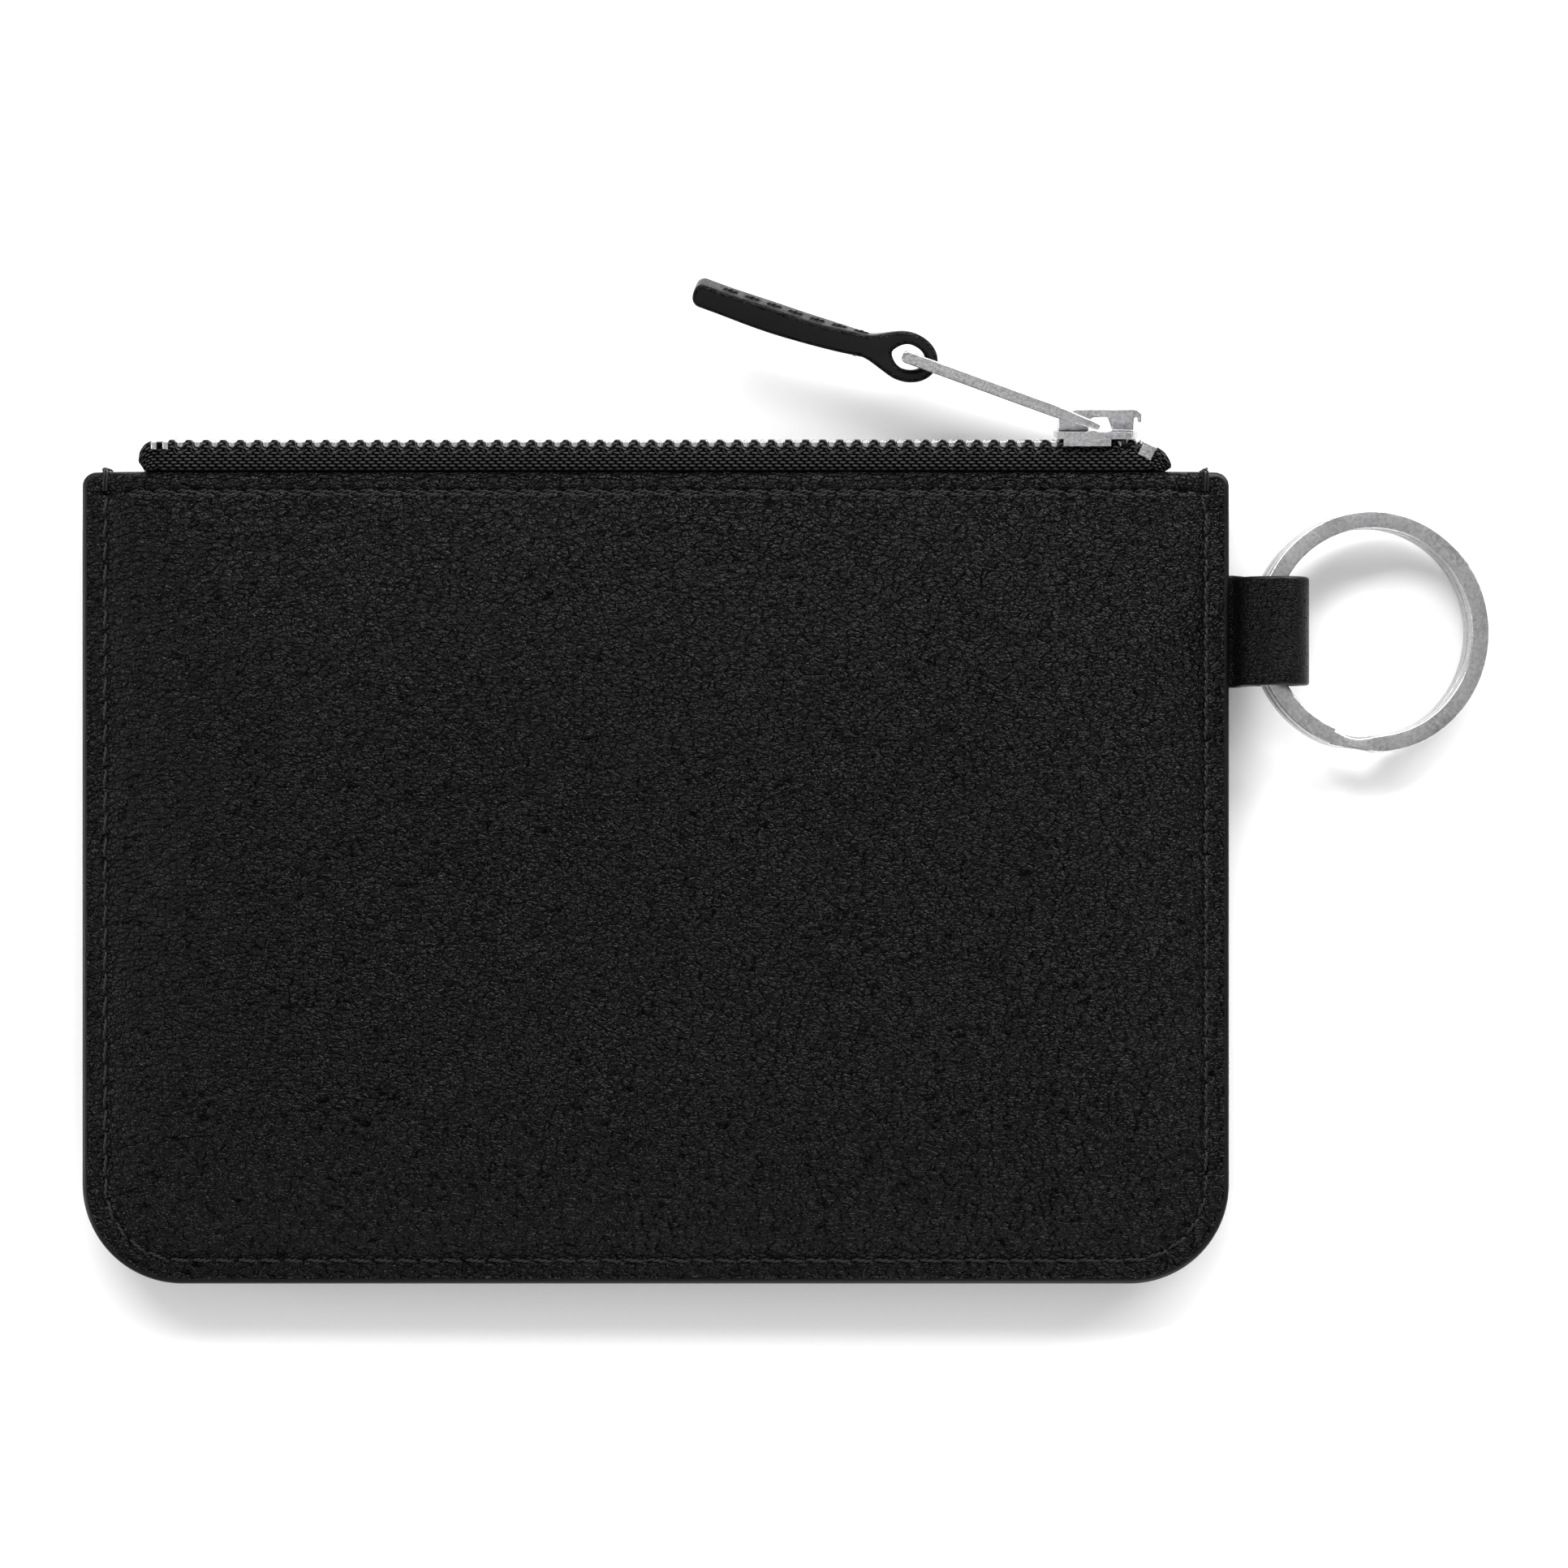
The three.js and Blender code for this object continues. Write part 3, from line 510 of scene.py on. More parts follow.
def seam_path(step=0.5):
    """The seam's stitch line from the mouth's left end round the bottom to its right end, evenly spaced."""
    points = outline(SEAM_STITCH_INSET, step)
    below = points[points[:, 1] < HALF_HEIGHT - MOUTH_STITCH_INSET]
    start = np.argmin(np.hypot(*(below - (-HALF_WIDTH, HALF_HEIGHT)).T))
    points = np.roll(below, -start, axis=0)
    lengths = np.concatenate([[0], np.cumsum(np.hypot(*np.diff(points, axis=0).T))])
    even = np.arange(0, lengths[-1], SEAM_LINE_STEP)
    return np.stack([np.interp(even, lengths, points[:, k]) for k in (0, 1)], axis=1)


SEAM_PATH = seam_path()


def seam_position(x, y):
    """How far along the seam's stitch line the nearest point is."""
    result = np.zeros(len(x))
    near = from_seam(x, y) < SEAM_STITCH_INSET + 1.2
    coarse = SEAM_PATH[::4]
    points = np.stack([x[near], y[near]], axis=1)
    nearest = np.empty(len(points), int)
    for start in range(0, len(points), 4000):
        block = points[start : start + 4000]
        nearest[start : start + 4000] = ((block[:, None] - coarse[None]) ** 2).sum(2).argmin(1)
    result[near] = nearest * 4 * SEAM_LINE_STEP
    return result


def stitch_dip(across, along, width, depth):
    """The groove a row of stitches pulls, deepest at the needle holes."""
    holes = 0.62 + 0.38 * np.cos(2 * math.pi * along / STITCH_PITCH)
    return depth * holes * np.exp(-((across / width) ** 2))


def face_height(side, inset, x, y):
    """The finished outer face's distance from the seam level."""
    mouth = on_mouth(x, y)
    height = outer_half(side, x, y) + dents(side, x, y)
    height -= drop(inset, 0.62) * (1 - mouth) * 0.85 + drop(inset, HEM / 2) * mouth
    seam = from_seam(x, y)
    height -= 0.07 * np.exp(-(((seam - 0.95) / 0.13) ** 2)) * (1 - mouth)
    below = HALF_HEIGHT - y
    row = stitch_dip(seam - SEAM_STITCH_INSET, seam_position(x, y), 0.4, 0.34)
    height -= row * smoothstep(0.5, 1.6, below)
    height += 0.14 * np.exp(-(((below - 1.15) / 0.75) ** 2)) * smoothstep(64.5, 61, np.abs(x))
    wave = 0.12 * np.cos(2 * math.pi * x / STITCH_PITCH)
    dip = stitch_dip(below - MOUTH_STITCH_INSET - wave, x, 0.3, 0.42)
    height -= dip * smoothstep(65.3, 64.2, np.abs(x))
    return height


# How far in from the edge the rings of points lie: close together at the rim and along the stitches.
FINE_INSETS = (
    0, 0.04, 0.12, 0.25, 0.42, 0.6, 0.74, 0.84, 0.95, 1.06, 1.2, 1.4, 1.6, 1.8, 1.95, 2.08, 2.2, 2.32,
    2.44, 2.56, 2.68, 2.8, 2.92, 3.05, 3.2, 3.4, 3.7, 4.2, 5,
)
INNER_INSETS = (0, 0.25, 0.9, 1.3, 2.8, 7, 14, 24, 36)


def inner_height(side, inset, x, y):
    outer = outer_half(side, x, y)
    mouth = on_mouth(x, y)
    closed = 0.03
    hem = outer - HEM + drop(inset, HEM / 2)
    edge = closed * (1 - mouth) + hem * mouth
    deep = smoothstep(1.3, 2.8, from_seam(x, y)) * smoothstep(1.3, 2.8, inset)
    return edge * (1 - deep) + (outer - LEATHER) * deep


def sheet(name, side, step, top_insets, top, bottom_insets, bottom, materials, strip_width=0.0):
    """A closed sheet over the outline, its rim's strip in the second material."""
    rings = []
    levels = []
    for inset, height in [(i, top) for i in reversed(top_insets)] + [(i, bottom) for i in bottom_insets]:
        points = outline(inset, step)
        z = SEAM_LEVEL + side["sign"] * height(side, inset, points[:, 0], points[:, 1])
        rings.append(np.column_stack([points, z]))
        levels.append(inset)
    count = len(rings[0])
    faces = grid_faces(len(rings), count).tolist()
    marks = []
    for r in range(len(rings) - 1):
        in_strip = max(levels[r], levels[r + 1]) <= strip_width
        side_rim = (np.abs(rings[r][:, 0]) > 64) | (rings[r][:, 1] < HALF_HEIGHT - 1.9)
        marks += (side_rim & in_strip).astype(int).tolist()
    centres = []
    for ring, height in ((rings[0], top), (rings[-1], bottom)):
        middle = ring[:, :2].mean(0)
        z = SEAM_LEVEL + side["sign"] * height(side, 45.0, middle[:1], middle[1:])[0]
        centres.append([*middle, z])
    total = len(rings) * count
    faces += [[total, i, (i + 1) % count] for i in range(count)]
    faces += [[total + 1, total - count + (i + 1) % count, total - count + i] for i in range(count)]
    marks += [0] * (2 * count)
    vertices = np.concatenate([*rings, np.array(centres)])
    thing = mesh_object(name, vertices, faces, materials, face_materials=marks)
    outward(thing)
    return thing


def make_panels():
    deep_insets = tuple(np.arange(6.5, 45.5, 1.5))
    for side, name, step in ((FRONT, "front", 0.55), (BACK, "back", 0.75)):
        panel = sheet(
            f"{name}_leather", side, step, FINE_INSETS + deep_insets, face_height,
            INNER_INSETS, inner_height, [PANEL_LEATHER, EDGE_PAINT], EDGE_STRIP,
        )
        finish_piece(panel, "pouch", [f"{name}_panel"])


LINING_THICKNESS = 0.35
LINING_INSETS = (3, 4, 5.5, 7, 10, 14, 19, 24, 30, 36)


def lining_height(side, inset, x, y):
    inside = inner_height(side, np.full_like(x, max(inset, 3.0)), x, y) - 0.12
    return np.minimum(inside, 0.7 + 0.25 * (HALF_HEIGHT - y - 3))


def make_linings():
    for side, name in ((FRONT, "front"), (BACK, "back")):
        cloth = sheet(
            f"{name}_lining_cloth", side, 3, LINING_INSETS, lining_height, LINING_INSETS,
            lambda s, i, x, y: lining_height(s, i, x, y) - LINING_THICKNESS, [LINING],
        )
        finish_piece(cloth, "pouch", [f"{name}_lining"])


# ---- Stitches ----

THREAD_RADIUS = 0.13
PLY_TURNS = 1.6


def add_stitch(skin, start, end, normal, lift=0.14, plies=2, radius=THREAD_RADIUS):
    """One stitch of twisted thread, arched between its two needle holes."""
    start, end, normal = (np.asarray(v, float) for v in (start, end, normal))
    along = (end - start) / np.linalg.norm(end - start)
    side = np.cross(along, normal)
    t = np.linspace(0, 1, 13)
    middle = start + t[:, None] * (end - start)
    middle += normal * (lift * (1.6 * np.sin(math.pi * t) ** 0.6 - 1.0))[:, None]
    for ply in range(plies):
        angle = 2 * math.pi * (PLY_TURNS * t + ply / plies)
        offset = np.cos(angle)[:, None] * side + np.sin(angle)[:, None] * normal
        skin.tube(middle + 0.8 * radius * offset, radius, 6)


def surface_point(side, x, y, lift=0.0):
    x, y = np.array([x], float), np.array([y], float)
    height = outer_half(side, x, y)[0] + dents(side, x, y)[0]
    return np.array([x[0], y[0], SEAM_LEVEL + side["sign"] * (height + lift)])


STITCH_FILL = 0.86
SLANT = 0.16


def seam_thread(side, name):
    skin = Skin()
    normal = (0, 0, side["sign"])
    length = len(SEAM_PATH) * SEAM_LINE_STEP
    for k in range(int(length / STITCH_PITCH)):
        ends = []
        for sign, at in ((1, k), (-1, k + STITCH_FILL)):
            point = SEAM_PATH[min(int(at * STITCH_PITCH / SEAM_LINE_STEP), len(SEAM_PATH) - 1)]
            inward = -point / np.linalg.norm(point)
            ends.append(surface_point(side, *(point + sign * SLANT * inward), lift=-0.2))
        add_stitch(skin, *ends, normal)
    if side["sign"] > 0:
        add_tacks(skin)
    piece = skin.object(f"{name}_seam_stitches", [THREAD])
    finish_piece(piece, "pouch", [f"{name}_seam_thread"])


def add_tacks(skin):
    """The seam's thread wraps over the mouth's edge at each end."""
    for sign in (-1, 1):
        for k, shift in enumerate((-0.16, 0.18)):
            x = sign * (HALF_WIDTH - SEAM_STITCH_INSET + shift)
            front = surface_point(FRONT, x, HALF_HEIGHT - 2.2, -0.12)
            back = surface_point(BACK, x, HALF_HEIGHT - 2.2, -0.12)
            t = np.linspace(0, math.pi, 25)
            half = (front[2] - back[2]) / 2
            middle = (front[2] + back[2]) / 2
            reach = 2.2 + 0.36 + 0.1 * k
            flat = np.sign(np.cos(t)) * np.abs(np.cos(t)) ** 0.35
            path = np.column_stack([
                x + 0.12 * np.sin(5 * t),
                HALF_HEIGHT - 2.2 + reach * np.sin(t) ** 0.3,
                middle + half * flat * 1.06,
            ])
            skin.tube(path, 0.14, 7)


def mouth_thread(side, name):
    skin = Skin()
    y = HALF_HEIGHT - MOUTH_STITCH_INSET
    half_count = int(62.5 / STITCH_PITCH)
    for k in range(-half_count, half_count):
        start = surface_point(side, (k + 0.07) * STITCH_PITCH, y + SLANT * 0.6, -0.3)
        end = surface_point(side, (k + 0.07 + STITCH_FILL) * STITCH_PITCH, y - SLANT * 1.4, -0.3)
        add_stitch(skin, start, end, (0, 0, side["sign"]), 0.16)
    piece = skin.object(f"{name}_mouth_stitches", [THREAD])
    finish_piece(piece, "pouch", [f"{name}_mouth_thread"])


# ---- The zip, in its own frame: x along the chain, v out of the pouch, w towards the front ----

pull_axis = Vector(JOINTS["pull_swing"]["axis"])
ZIP_TILT = math.asin(pull_axis.y)
PIVOT_OUT = 2.6
pull_pivot = np.array(JOINTS["pull_swing"]["pos_m"]) / MM
V_AXIS = np.array([0, math.cos(ZIP_TILT), math.sin(ZIP_TILT)])
W_AXIS = np.array([0, -math.sin(ZIP_TILT), math.cos(ZIP_TILT)])
ZIP_ORIGIN = np.array([0, pull_pivot[1], pull_pivot[2]]) - PIVOT_OUT * V_AXIS


def from_zip(points):
    """Points of the zip's frame in the part's."""
    points = np.atleast_2d(np.asarray(points, float))
    return ZIP_ORIGIN + points[:, :1] * [1, 0, 0] + points[:, 1:2] * V_AXIS + points[:, 2:3] * W_AXIS


def tape_profile(sign):
    """The tape's outer line in (y, z), from inside the pouch over the shoulder to the teeth."""
    def zip_point(v, w):
        return from_zip([[0, v, sign * w]])[0][1:]

    low = BACK_CORD_LOWER if sign < 0 else 0.0
    controls = [
        (HALF_HEIGHT - 5, SEAM_LEVEL + sign * 1.85),
        (HALF_HEIGHT - 2.6, SEAM_LEVEL + sign * 1.42),
        (HALF_HEIGHT - 0.4, SEAM_LEVEL + sign * 1.42),
        (HALF_HEIGHT + 0.1, SEAM_LEVEL + sign * 1.9),
        (HALF_HEIGHT + 0.3, SEAM_LEVEL + sign * 2.7),
        zip_point(-2.2, 3.1),
        zip_point(-1.2, 3.15),
        zip_point(-0.1 - low, 3.1),
        zip_point(0.6 - low, 2.85),
        zip_point(0.86 - low, 2.2),
        zip_point(0.5 - low, 1.65),
    ]
    line = catmull_rom(np.array(controls), TAPE_POINTS)
    return np.concatenate([line[:HIDDEN_POINTS:5], line[HIDDEN_POINTS:]])


def catmull_rom(controls, count):
    """Evenly spaced points on a smooth curve through the control points."""
    padded = np.concatenate([[2 * controls[0] - controls[1]], controls, [2 * controls[-1] - controls[-2]]])
    curve = []
    for p0, p1, p2, p3 in zip(padded, padded[1:], padded[2:], padded[3:]):
        t = np.linspace(0, 1, 24, endpoint=False)[:, None]
        curve.append(0.5 * (2 * p1 + (p2 - p0) * t + (2 * p0 - 5 * p1 + 4 * p2 - p3) * t**2
                            + (3 * p1 - p0 - 3 * p2 + p3) * t**3))
    curve = np.concatenate([*curve, controls[-1:]])
    lengths = np.concatenate([[0], np.cumsum(np.linalg.norm(np.diff(curve, axis=0), axis=1))])
    even = np.linspace(0, lengths[-1], count)
    return np.stack([np.interp(even, lengths, curve[:, k]) for k in range(curve.shape[1])], axis=1)


TAPE_THICKNESS = 0.5
TAPE_POINTS = 160
INNER_STEP = 4  # the inside's points are this much further apart
HIDDEN_POINTS = 70  # of the tape's line, those inside the pouch
YARN_LENGTH = 0.985  # half a tooth pitch
YARN_PITCH = 0.36
YARN_LEAN = 0.12
YARN_STEP = 0.43  # how far each row of yarns is shifted along the one below
CORD_WIDTH = 0.5
BACK_CORD_LOWER = 0.5
PAST_STOP_LOWER = 0.8
TAPE_END_RADIUS = 2.2
TOP_STOP_MIDDLE = 56.55
TOP_STOP_TILT = 0.45
BOTTOM_STOP_MIDDLE = -56.8


def weave(x, up):
    """A twill of short yarns along the tape, row over row, each dipping a little towards the closed end."""
    row = np.floor(up / YARN_PITCH)
    along = x / YARN_LENGTH + YARN_STEP * row
    along -= np.floor(along) + 0.5
    rise = up / YARN_PITCH - row - 0.5 + YARN_LEAN * along
    return np.clip(1 - (2.7 * along) ** 4, 0, 1) * np.clip(1 - (3.0 * rise) ** 2, 0, 1)


def make_tape(sign, name, first_tooth):
    line = tape_profile(sign)
    tangent = np.gradient(line, axis=0)
    tangent /= np.linalg.norm(tangent, axis=1)[:, None]
    normal = np.column_stack([-tangent[:, 1], tangent[:, 0]]) * sign
    up = np.concatenate([[0], np.cumsum(np.linalg.norm(np.diff(line, axis=0), axis=1))])
    bead = smoothstep(up[-1] - 2.5, up[-1] - 2.1, up)
    thickness = TAPE_THICKNESS - 0.22 * bead
    height = np.clip((line[:, 0] - HALF_HEIGHT) / (line[:, 0].max() - HALF_HEIGHT), 0, 1)
    inner_line = (line - normal * thickness[:, None])[::INNER_STEP]
    rows = []
    reliefs = []
    for x in np.arange(-TAPE_HALF_LENGTH, TAPE_HALF_LENGTH + 0.01, 0.16):
        end = TAPE_HALF_LENGTH - abs(x)
        radius = TAPE_END_RADIUS + (1.0 if x > 0 else 0.0)
        turned = 1 - np.sqrt(np.clip(1 - (1 - np.clip(end / radius, 0, 1)) ** 2, 0, 1))
        tooth = (x - first_tooth) / TOOTH_PITCH
        between = abs(tooth - round(tooth)) * TOOTH_PITCH
        seat = math.exp(-((between / CORD_WIDTH) ** 4)) * (CHAIN_START - 1 < x < MESHED_END + 4)
        clamped = PAST_STOP_LOWER * smoothstep(TOP_STOP_MIDDLE - 1.3, TOP_STOP_MIDDLE - 0.6, x)
        groove = 0.3 * math.exp(-(((end - 2.3) / 0.3) ** 2))
        yarns = weave(x, up)
        relief = 0.16 * yarns * (1 - 0.75 * bead) + 0.12 * bead * (1 - seat) - groove
        # The yarn pattern, kept as the relief attribute that drives the tape's painted shade and highlight.
        reliefs.append(np.concatenate([yarns, np.full(len(inner_line), 0.5)]))
        outer = line + normal * relief[:, None]
        fall = radius * turned * height + 0.62 * max(seat, clamped) * bead
        close = sign * 0.6 * turned
        sink = np.column_stack([fall, np.full(len(up), close)])
        inner_sink = sink[::INNER_STEP]
        lean = -math.copysign(0.8, x) * (1 - height) * smoothstep(2.5, 0, end)
        section = np.concatenate([outer - sink, (inner_line - inner_sink)[::-1]])
        rows.append(np.column_stack([x + np.concatenate([lean, lean[::INNER_STEP][::-1]]), section]))
    count = len(rows[0])
    faces = grid_faces(len(rows), count).tolist()
    faces.append(list(range(count))[::-1])
    faces.append(list(range((len(rows) - 1) * count, len(rows) * count)))
    piece = mesh_object(f"{name}_tape_weave", np.concatenate(rows), faces, [TAPE])
    outward(piece)
    relief_layer = piece.data.attributes.new("relief", "FLOAT", "POINT")
    relief_layer.data.foreach_set("value", np.concatenate(reliefs).astype(np.float32))
    finish_piece(piece, "pouch", [f"{name}_zip_tape"])


def rounded_block(low, high, bevel, segments=2):
    """A block with rounded edges, as vertices and faces."""
    mesh = bmesh.new()
    bmesh.ops.create_cube(mesh, size=1)
    low, high = np.asarray(low, float), np.asarray(high, float)
    for vertex in mesh.verts:
        vertex.co = Vector(low + (high - low) * (np.array(vertex.co) + 0.5))
    bmesh.ops.bevel(mesh, geom=mesh.edges[:], offset=bevel, segments=segments, profile=0.5, affect="EDGES")
    mesh.verts.index_update()
    vertices = np.array([vertex.co[:] for vertex in mesh.verts])
    faces = [[vertex.index for vertex in face.verts] for face in mesh.faces]
    mesh.free()
    return vertices, faces


def make_teeth(sign, name, first):
    """Each tooth: two arms clamped over the tape's bead, a neck, and a head with a nib that meshes."""
    skin = Skin()
    arms = rounded_block((-0.46, -0.86, 1.25), (0.46, 0.86, 2.5), 0.16)
    head = rounded_block((-0.42, -0.7, -0.5), (0.42, 0.7, 1.35), 0.16)
    nib = rounded_block((-0.2, 0.5, -0.35), (0.2, 0.92, 0.3), 0.1)
    for x in np.arange(first, MESHED_END, TOOTH_PITCH):
        for vertices, faces in (arms, head, nib):
            placed = vertices * [1, 1, sign] + [x, 0, 0]
            skin.add(from_zip(placed), faces if sign > 0 else [face[::-1] for face in faces])
    for x in (53.2, 55.1):
        vertices, faces = arms
        placed = vertices * [1, 1, sign] + [x, 0, 0]
        skin.add(from_zip(placed), faces if sign > 0 else [face[::-1] for face in faces])
    piece = skin.object(f"{name}_teeth", [NICKEL])
    finish_piece(piece, "pouch", [f"{name}_tooth_row"])


def make_stops():
    """The stops: one bracket over both tapes at one end, and a block on each tape at the other."""
    bracket = Skin()
    for low, high in (
        ((-1.0, 0.72, -3.3), (1.0, 1.02, 3.6)),
        ((-1.0, -0.05, 3.1), (-0.32, 0.9, 3.64)),
        ((0.32, -0.05, 3.1), (1.0, 0.9, 3.64)),
        ((-1.0, -0.7, -2.1), (1.0, 0.85, 2.1)),
    ):
        vertices, faces = rounded_block(low, high, 0.12)
        bracket.add(from_zip(vertices + [BOTTOM_STOP_MIDDLE, 0, 0]), faces)
    piece = bracket.object("bottom_stop_bracket", [NICKEL])
    finish_piece(piece, "pouch", ["bottom_stop"])
    cosine, sine = math.cos(-TOP_STOP_TILT), math.sin(-TOP_STOP_TILT)
    for sign, name in ((1, "front"), (-1, "back")):
        stop = Skin()
        vertices, faces = rounded_block((-0.88, -0.95, 0.62), (0.88, 0.8, 3.3), 0.2, 3)
        x = vertices[:, 0] * cosine - vertices[:, 1] * sine
        v = vertices[:, 0] * sine + vertices[:, 1] * cosine
        placed = np.column_stack([TOP_STOP_MIDDLE + x, v - 0.15, sign * vertices[:, 2]])
        stop.add(from_zip(placed), faces)
        piece = stop.object(f"{name}_top_stop_block", [NICKEL])
        finish_piece(piece, "pouch", [f"{name}_top_stop"])


def refined(node, body, material, bevel):
    """A node's own shape with its edges rounded, as a cast or stamped piece has them."""
    source = bpy.data.objects[node]
    piece = bpy.data.objects.new(f"{node}_finished", source.data.copy())
    piece.data.materials.clear()
    piece.data.materials.append(material)
    bpy.context.collection.objects.link(piece)
    mesh = bmesh.new()
    mesh.from_mesh(piece.data)
    bmesh.ops.remove_doubles(mesh, verts=mesh.verts, dist=0.00001)
    bmesh.ops.dissolve_limit(mesh, angle_limit=math.radians(2), verts=mesh.verts, edges=mesh.edges)
    sharp = [edge for edge in mesh.edges if edge.is_manifold and edge.calc_face_angle(0) > math.radians(25)]
    bmesh.ops.bevel(
        mesh, geom=sharp, offset=bevel * MM, segments=3, profile=0.5, affect="EDGES", clamp_overlap=True
    )
    bmesh.ops.triangulate(mesh, faces=[face for face in mesh.faces if len(face.verts) > 4])
    bmesh.ops.recalc_face_normals(mesh, faces=mesh.faces)
    mesh.to_mesh(piece.data)
    mesh.free()
    piece.data.polygons.foreach_set("use_smooth", [True] * len(piece.data.polygons))
    piece.data.set_sharp_from_angle(angle=math.radians(32))
    finish_piece(piece, body, [node])
    return piece


# ---- The leather puller ----

strap_pivot = np.array(JOINTS["strap_swing"]["pos_m"]) / MM
STRAP_ANGLE = math.pi - math.radians(19.9) + math.radians(2.5)
STRAP_LENGTH = 25.6
STRAP_TWIST = math.radians(13)
STRAP_HALF_WIDTH = 2.0
STRAP_HALF_THICKNESS = 1.4
EYE_HALF_HEIGHT = 2.85
EYE_WALL = 1.4
EYE_FRONT = 3.6
EYE_BACK = 1.8


def from_strap(points):
    """Points of the strap's frame, its x along the strap from the pull's bar, in the part's."""
    points = np.atleast_2d(np.asarray(points, float)).copy()
    roll = STRAP_TWIST * smoothstep(1.5, 12, points[:, 0])
    middle = strap_bend(points[:, 0])
    y, w = points[:, 1] - middle, points[:, 2].copy()
    points[:, 1] = middle + y * np.cos(roll) + w * np.sin(roll)
    points[:, 2] = w * np.cos(roll) - y * np.sin(roll)
    along = math.cos(STRAP_ANGLE) * np.array([1, 0, 0]) + math.sin(STRAP_ANGLE) * V_AXIS
    over = -math.sin(STRAP_ANGLE) * np.array([1, 0, 0]) + math.cos(STRAP_ANGLE) * V_AXIS
    return strap_pivot + points[:, :1] * along + points[:, 1:2] * over + points[:, 2:3] * W_AXIS


def strap_bend(s):
    """The strap's gentle set: it bows a little. Its own +y faces the pouch."""
    return 0.38 * np.sin(np.clip((s - 2) / (STRAP_LENGTH - 2), 0, 1) * math.pi)


def strap_half_thickness(s):
    waist = 0.12 * np.exp(-(((s - 5.2) / 1.6) ** 2))
    return STRAP_HALF_THICKNESS - waist + 0.05 * np.sin(s / 2.1)


def strap_outline(inset, count=220):
    """The strap's outer profile, from the free end's middle round the eye and back."""
    t = np.linspace(0, 2 * math.pi, count, endpoint=False)
    s_end = STRAP_LENGTH
    along = (s_end - EYE_FRONT) / 2 + (s_end + EYE_FRONT) / 2 * np.cos(t)
    flat = np.sign(np.sin(t))
    eye = np.sqrt(np.clip(1 - np.clip(-along / EYE_FRONT, 0, 1) ** 2, 0, 1)) * EYE_HALF_HEIGHT
    neck = smoothstep(0.2, 5.2, along)
    half = eye * (1 - neck) + strap_half_thickness(along) * neck
    end = np.clip((s_end - along) / 1.1, 0, 1)
    half = half * np.sqrt(np.clip(1 - (1 - end) ** 2, 0, 1)) ** 0.8
    points = np.column_stack([along, flat * half])
    return shrink(points, inset) + np.column_stack([np.zeros(count), strap_bend(along)])


def eye_outline(inset, count=72):
    t = np.linspace(0, 2 * math.pi, count, endpoint=False)
    front = np.cos(t) < 0
    along = np.where(front, EYE_FRONT - EYE_WALL, EYE_BACK) * np.cos(t)
    half = (EYE_HALF_HEIGHT - EYE_WALL) * np.sin(t) * np.where(front, 1, 1 - 0.35 * np.cos(t) ** 2)
    return shrink(np.column_stack([along, half]), -inset)


def shrink(points, inset):
    """A closed profile moved inwards by an inset, along its own normals."""
    tangent = np.roll(points, -1, axis=0) - np.roll(points, 1, axis=0)
    tangent /= np.maximum(np.linalg.norm(tangent, axis=1), 1e-9)[:, None]
    return points + inset * np.column_stack([-tangent[:, 1], tangent[:, 0]])


def rounded_slab(outer, hole, half, radius, steps=5):
    """A slab of a profile with a hole, its edges rounded. outer and hole give the profile at an inset."""
    turns = [math.pi / 2 * k / steps for k in range(steps + 1)]
    levels = [(radius * (1 - math.sin(a)), -half + radius * (1 - math.cos(a))) for a in turns]
    levels += [(inset, -level) for inset, level in reversed(levels)]
    skin_parts = []
    for profile in (outer, hole):
        rings = [np.column_stack([profile(inset), np.full(len(profile(0)), w)]) for inset, w in levels]
        skin_parts.append(np.concatenate(rings))
    return levels, skin_parts


def make_strap():
    radius = 0.45
    levels, (outer, inner) = rounded_slab(strap_outline, eye_outline, STRAP_HALF_WIDTH, radius)
    rows, outer_count, inner_count = len(levels), len(strap_outline(0)), len(eye_outline(0))
    mesh = bmesh.new()
    outer_vertices = [mesh.verts.new(Vector(point * MM)) for point in from_strap(outer)]
    inner_vertices = [mesh.verts.new(Vector(point * MM)) for point in from_strap(inner)]
    for vertices, count in ((outer_vertices, outer_count), (inner_vertices, inner_count)):
        for face in grid_faces(rows, count):
            made = mesh.faces.new([vertices[i] for i in face])
            made.material_index = 0
    for row in (0, rows - 1):
        edges = []
        for vertices, count in ((outer_vertices, outer_count), (inner_vertices, inner_count)):
            ring = vertices[row * count : (row + 1) * count]
            edges += [mesh.edges.get((ring[i], ring[(i + 1) % count])) for i in range(count)]
        filled = bmesh.ops.triangle_fill(mesh, edges=edges, use_beauty=True)
        for face in filled["geom"]:
            if isinstance(face, bmesh.types.BMFace):
                face.material_index = 1
    bmesh.ops.recalc_face_normals(mesh, faces=mesh.faces)
    data = bpy.data.meshes.new("puller_strap")
    mesh.to_mesh(data)
    mesh.free()
    data.materials.append(STRAP_LEATHER)
    data.materials.append(EDGE_PAINT)
    data.polygons.foreach_set("use_smooth", [True] * len(data.polygons))
    piece = bpy.data.objects.new("puller_strap", data)
    bpy.context.collection.objects.link(piece)
    finish_piece(piece, "strap", ["puller_leather"])


def strap_thread(sign, name):
    skin = Skin()
    first, count = 4.6, 7
    for k in range(count):
        ends = []
        for at in (k + 0.1, k + STITCH_FILL):
            s = first + at * STITCH_PITCH
            half = strap_half_thickness(np.array([s]))[0]
            over = sign * (half - 0.05) + strap_bend(np.array([s]))[0]
            ends.append(from_strap([[s, over, 0.3 * (at - k - 0.5)]])[0])
        normal = from_strap([[0, sign, 0]])[0] - from_strap([[0, 0, 0]])[0]
        add_stitch(skin, *ends, normal, 0.12)
    piece = skin.object(f"{name}_stitches", [THREAD])
    finish_piece(piece, "strap", [name])


# ---- The key loop and the split ring ----

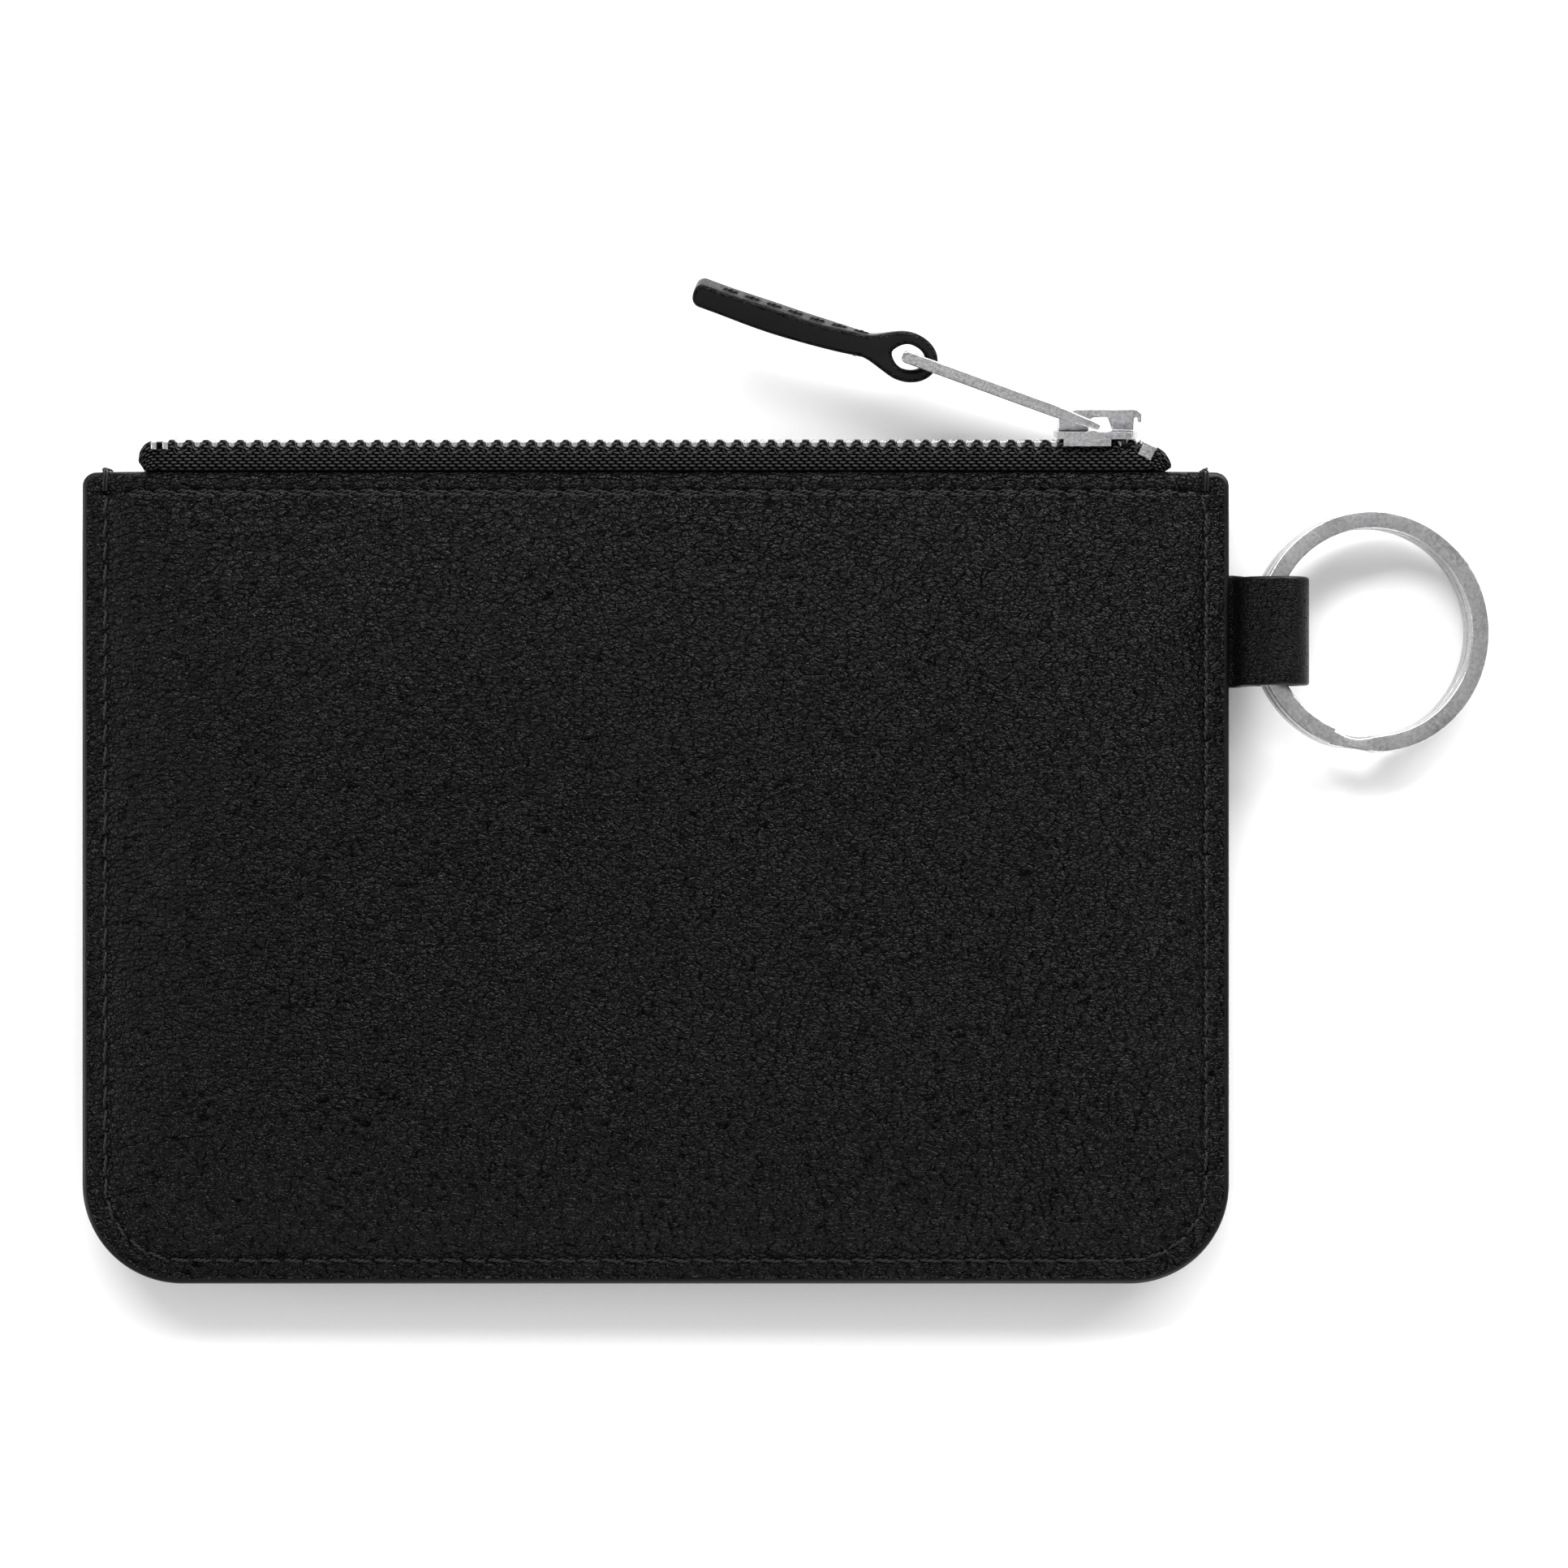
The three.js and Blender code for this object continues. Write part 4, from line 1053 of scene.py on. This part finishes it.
loop_pivot = np.array(JOINTS["loop_flex"]["pos_m"]) / MM
ring_pivot = np.array(JOINTS["ring_swing"]["pos_m"]) / MM
LOOP_RISE = math.atan2(ring_pivot[2] - loop_pivot[2], ring_pivot[0] - loop_pivot[0])
RING_DROOP = math.radians(9.6)
LOOP_LEATHER = 1.1
LOOP_HALF_WIDTH = 6.25
TUNNEL_RADIUS = 2.7
TUNNEL_FAR = 4.45


def make_loop():
    """A folded strip: in from the tail, out over the ring, round and back."""
    middle = TUNNEL_RADIUS + LOOP_LEATHER / 2
    turn = np.linspace(-math.pi / 2, math.pi / 2, 9)
    end = np.column_stack([TUNNEL_FAR + middle * np.cos(turn), middle * np.sin(turn)])
    lower = np.array([(-3.6, -0.5), (-2.2, -0.5), (-0.9, -0.55), (0.2, -0.95), (1.4, -2.2), (2.6, -2.92)])
    controls = np.concatenate([lower, end, (lower * [1, -1])[::-1]])
    line = catmull_rom(controls, 150)
    tangent = np.gradient(line, axis=0)
    tangent /= np.linalg.norm(tangent, axis=1)[:, None]
    normal = np.column_stack([-tangent[:, 1], tangent[:, 0]])
    half, thick, radius = LOOP_HALF_WIDTH, LOOP_LEATHER / 2, 0.34
    corner = np.linspace(0, math.pi / 2, 6)
    quarter = np.column_stack([
        half - radius + radius * np.sin(corner),
        thick - radius + radius * np.cos(corner),
    ])
    span = np.linspace(-half + radius, half - radius, 40)[1:-1]
    top = np.column_stack([span, np.full(len(span), thick)])
    section = np.concatenate([
        top,
        quarter,
        (quarter * [1, -1])[::-1],
        (top * [1, -1])[::-1],
        quarter * [-1, -1],
        (quarter * [-1, 1])[::-1],
    ])
    pinch = smoothstep(1.5, -0.5, line[:, 0])
    cosine, sine = math.cos(LOOP_RISE), math.sin(LOOP_RISE)
    rows = []
    for point, side, pinched in zip(line, normal, pinch):
        thickness = section[:, 1] * (1 - 0.16 * pinched)
        flare = section[:, 0] * (1 + 0.035 * pinched)
        local = point + thickness[:, None] * side
        x = loop_pivot[0] + local[:, 0] * cosine - local[:, 1] * sine
        z = loop_pivot[2] + local[:, 0] * sine + local[:, 1] * cosine
        if point[0] < 0:
            level = smoothstep(-2.5, 0, point[0])
            z = loop_pivot[2] + local[:, 0] * sine * level + local[:, 1] * cosine
        rows.append(np.column_stack([x, loop_pivot[1] + flare, z]))
    count = len(section)
    faces = grid_faces(len(rows), count).tolist()
    faces.append(list(range(count))[::-1])
    faces.append(list(range((len(rows) - 1) * count, len(rows) * count)))
    on_edge = (np.abs(section[:, 0]) > half - radius * 0.99).astype(int)
    marks = np.tile(on_edge, len(rows) - 1).tolist() + [1, 1]
    piece = mesh_object("key_loop_leather", np.concatenate(rows), faces, [STRAP_LEATHER, EDGE_PAINT],
                        face_materials=marks)
    outward(piece)
    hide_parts("key_loop", "key_loop_tail")
    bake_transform(piece)


RING_RADIUS = 14.0
WIRE_WIDTH = 2.04
WIRE_THICKNESS = 1.6
TURN_OFFSET = 0.85
PIVOT_TO_CENTRE = 12.18
RING_START = math.radians(248)
RING_SWEEP = math.radians(696)


def make_ring():
    steps = 464
    ramp_end = 2 * math.pi - math.radians(3)
    ramp = math.radians(20)
    corner = np.linspace(0, math.pi / 2, 5)
    cosine, sine = math.cos(-RING_DROOP), math.sin(-RING_DROOP)
    rows = []
    for turned in np.linspace(0, RING_SWEEP, steps):
        angle = RING_START - turned
        down = smoothstep(ramp_end - ramp, ramp_end, turned)
        crossing = math.exp(-(((turned - ramp_end + ramp / 2) / (ramp * 0.42)) ** 2))
        radius = 0.2 + 0.35 * crossing
        w, t = WIRE_WIDTH / 2, WIRE_THICKNESS / 2
        quarter = np.column_stack([
            w - radius + radius * np.sin(corner),
            t - radius + radius * np.cos(corner),
        ])
        section = np.concatenate([
            quarter,
            (quarter * [1, -1])[::-1],
            quarter * [-1, -1],
            (quarter * [-1, 1])[::-1],
        ])
        section = section * [1 - 0.28 * crossing, 1 - 0.1 * crossing]
        r = RING_RADIUS - w + section[:, 0]
        level = TURN_OFFSET * (1 - 2 * down) + section[:, 1]
        x = PIVOT_TO_CENTRE + r * math.cos(angle)
        rows.append(np.column_stack([
            ring_pivot[0] + x * cosine - level * sine,
            ring_pivot[1] + r * math.sin(angle),
            ring_pivot[2] + x * sine + level * cosine,
        ]))
    count = len(rows[0])
    faces = grid_faces(steps, count).tolist()
    faces.append(list(range(count))[::-1])
    faces.append(list(range((steps - 1) * count, steps * count)))
    piece = mesh_object("key_ring", np.concatenate(rows), faces, [STEEL])
    outward(piece)
    piece.data.set_sharp_from_angle(angle=math.radians(40))
    finish_piece(piece, "ring", ["split_ring"])


add_camera()
add_studio()
make_panels()
make_linings()
for pouch_side, side_name in ((FRONT, "front"), (BACK, "back")):
    seam_thread(pouch_side, side_name)
    mouth_thread(pouch_side, side_name)
FIRST_TOOTH = CHAIN_START + 1
for row_sign, row_name, row_start in (
    (1, "front", FIRST_TOOTH),
    (-1, "back", FIRST_TOOTH + TOOTH_PITCH / 2),
):
    make_tape(row_sign, row_name, row_start)
    make_teeth(row_sign, row_name, row_start)
make_stops()
refined("slider_body", "slider", NICKEL, 0.16)
refined("slider_crown", "slider", NICKEL, 0.16)
refined("lock_spring", "slider", STEEL, 0.04)
refined("pull_tab", "pull", NICKEL, 0.14)
make_strap()
strap_thread(1, "puller_needle_thread")
strap_thread(-1, "puller_bobbin_thread")
make_loop()
make_ring()
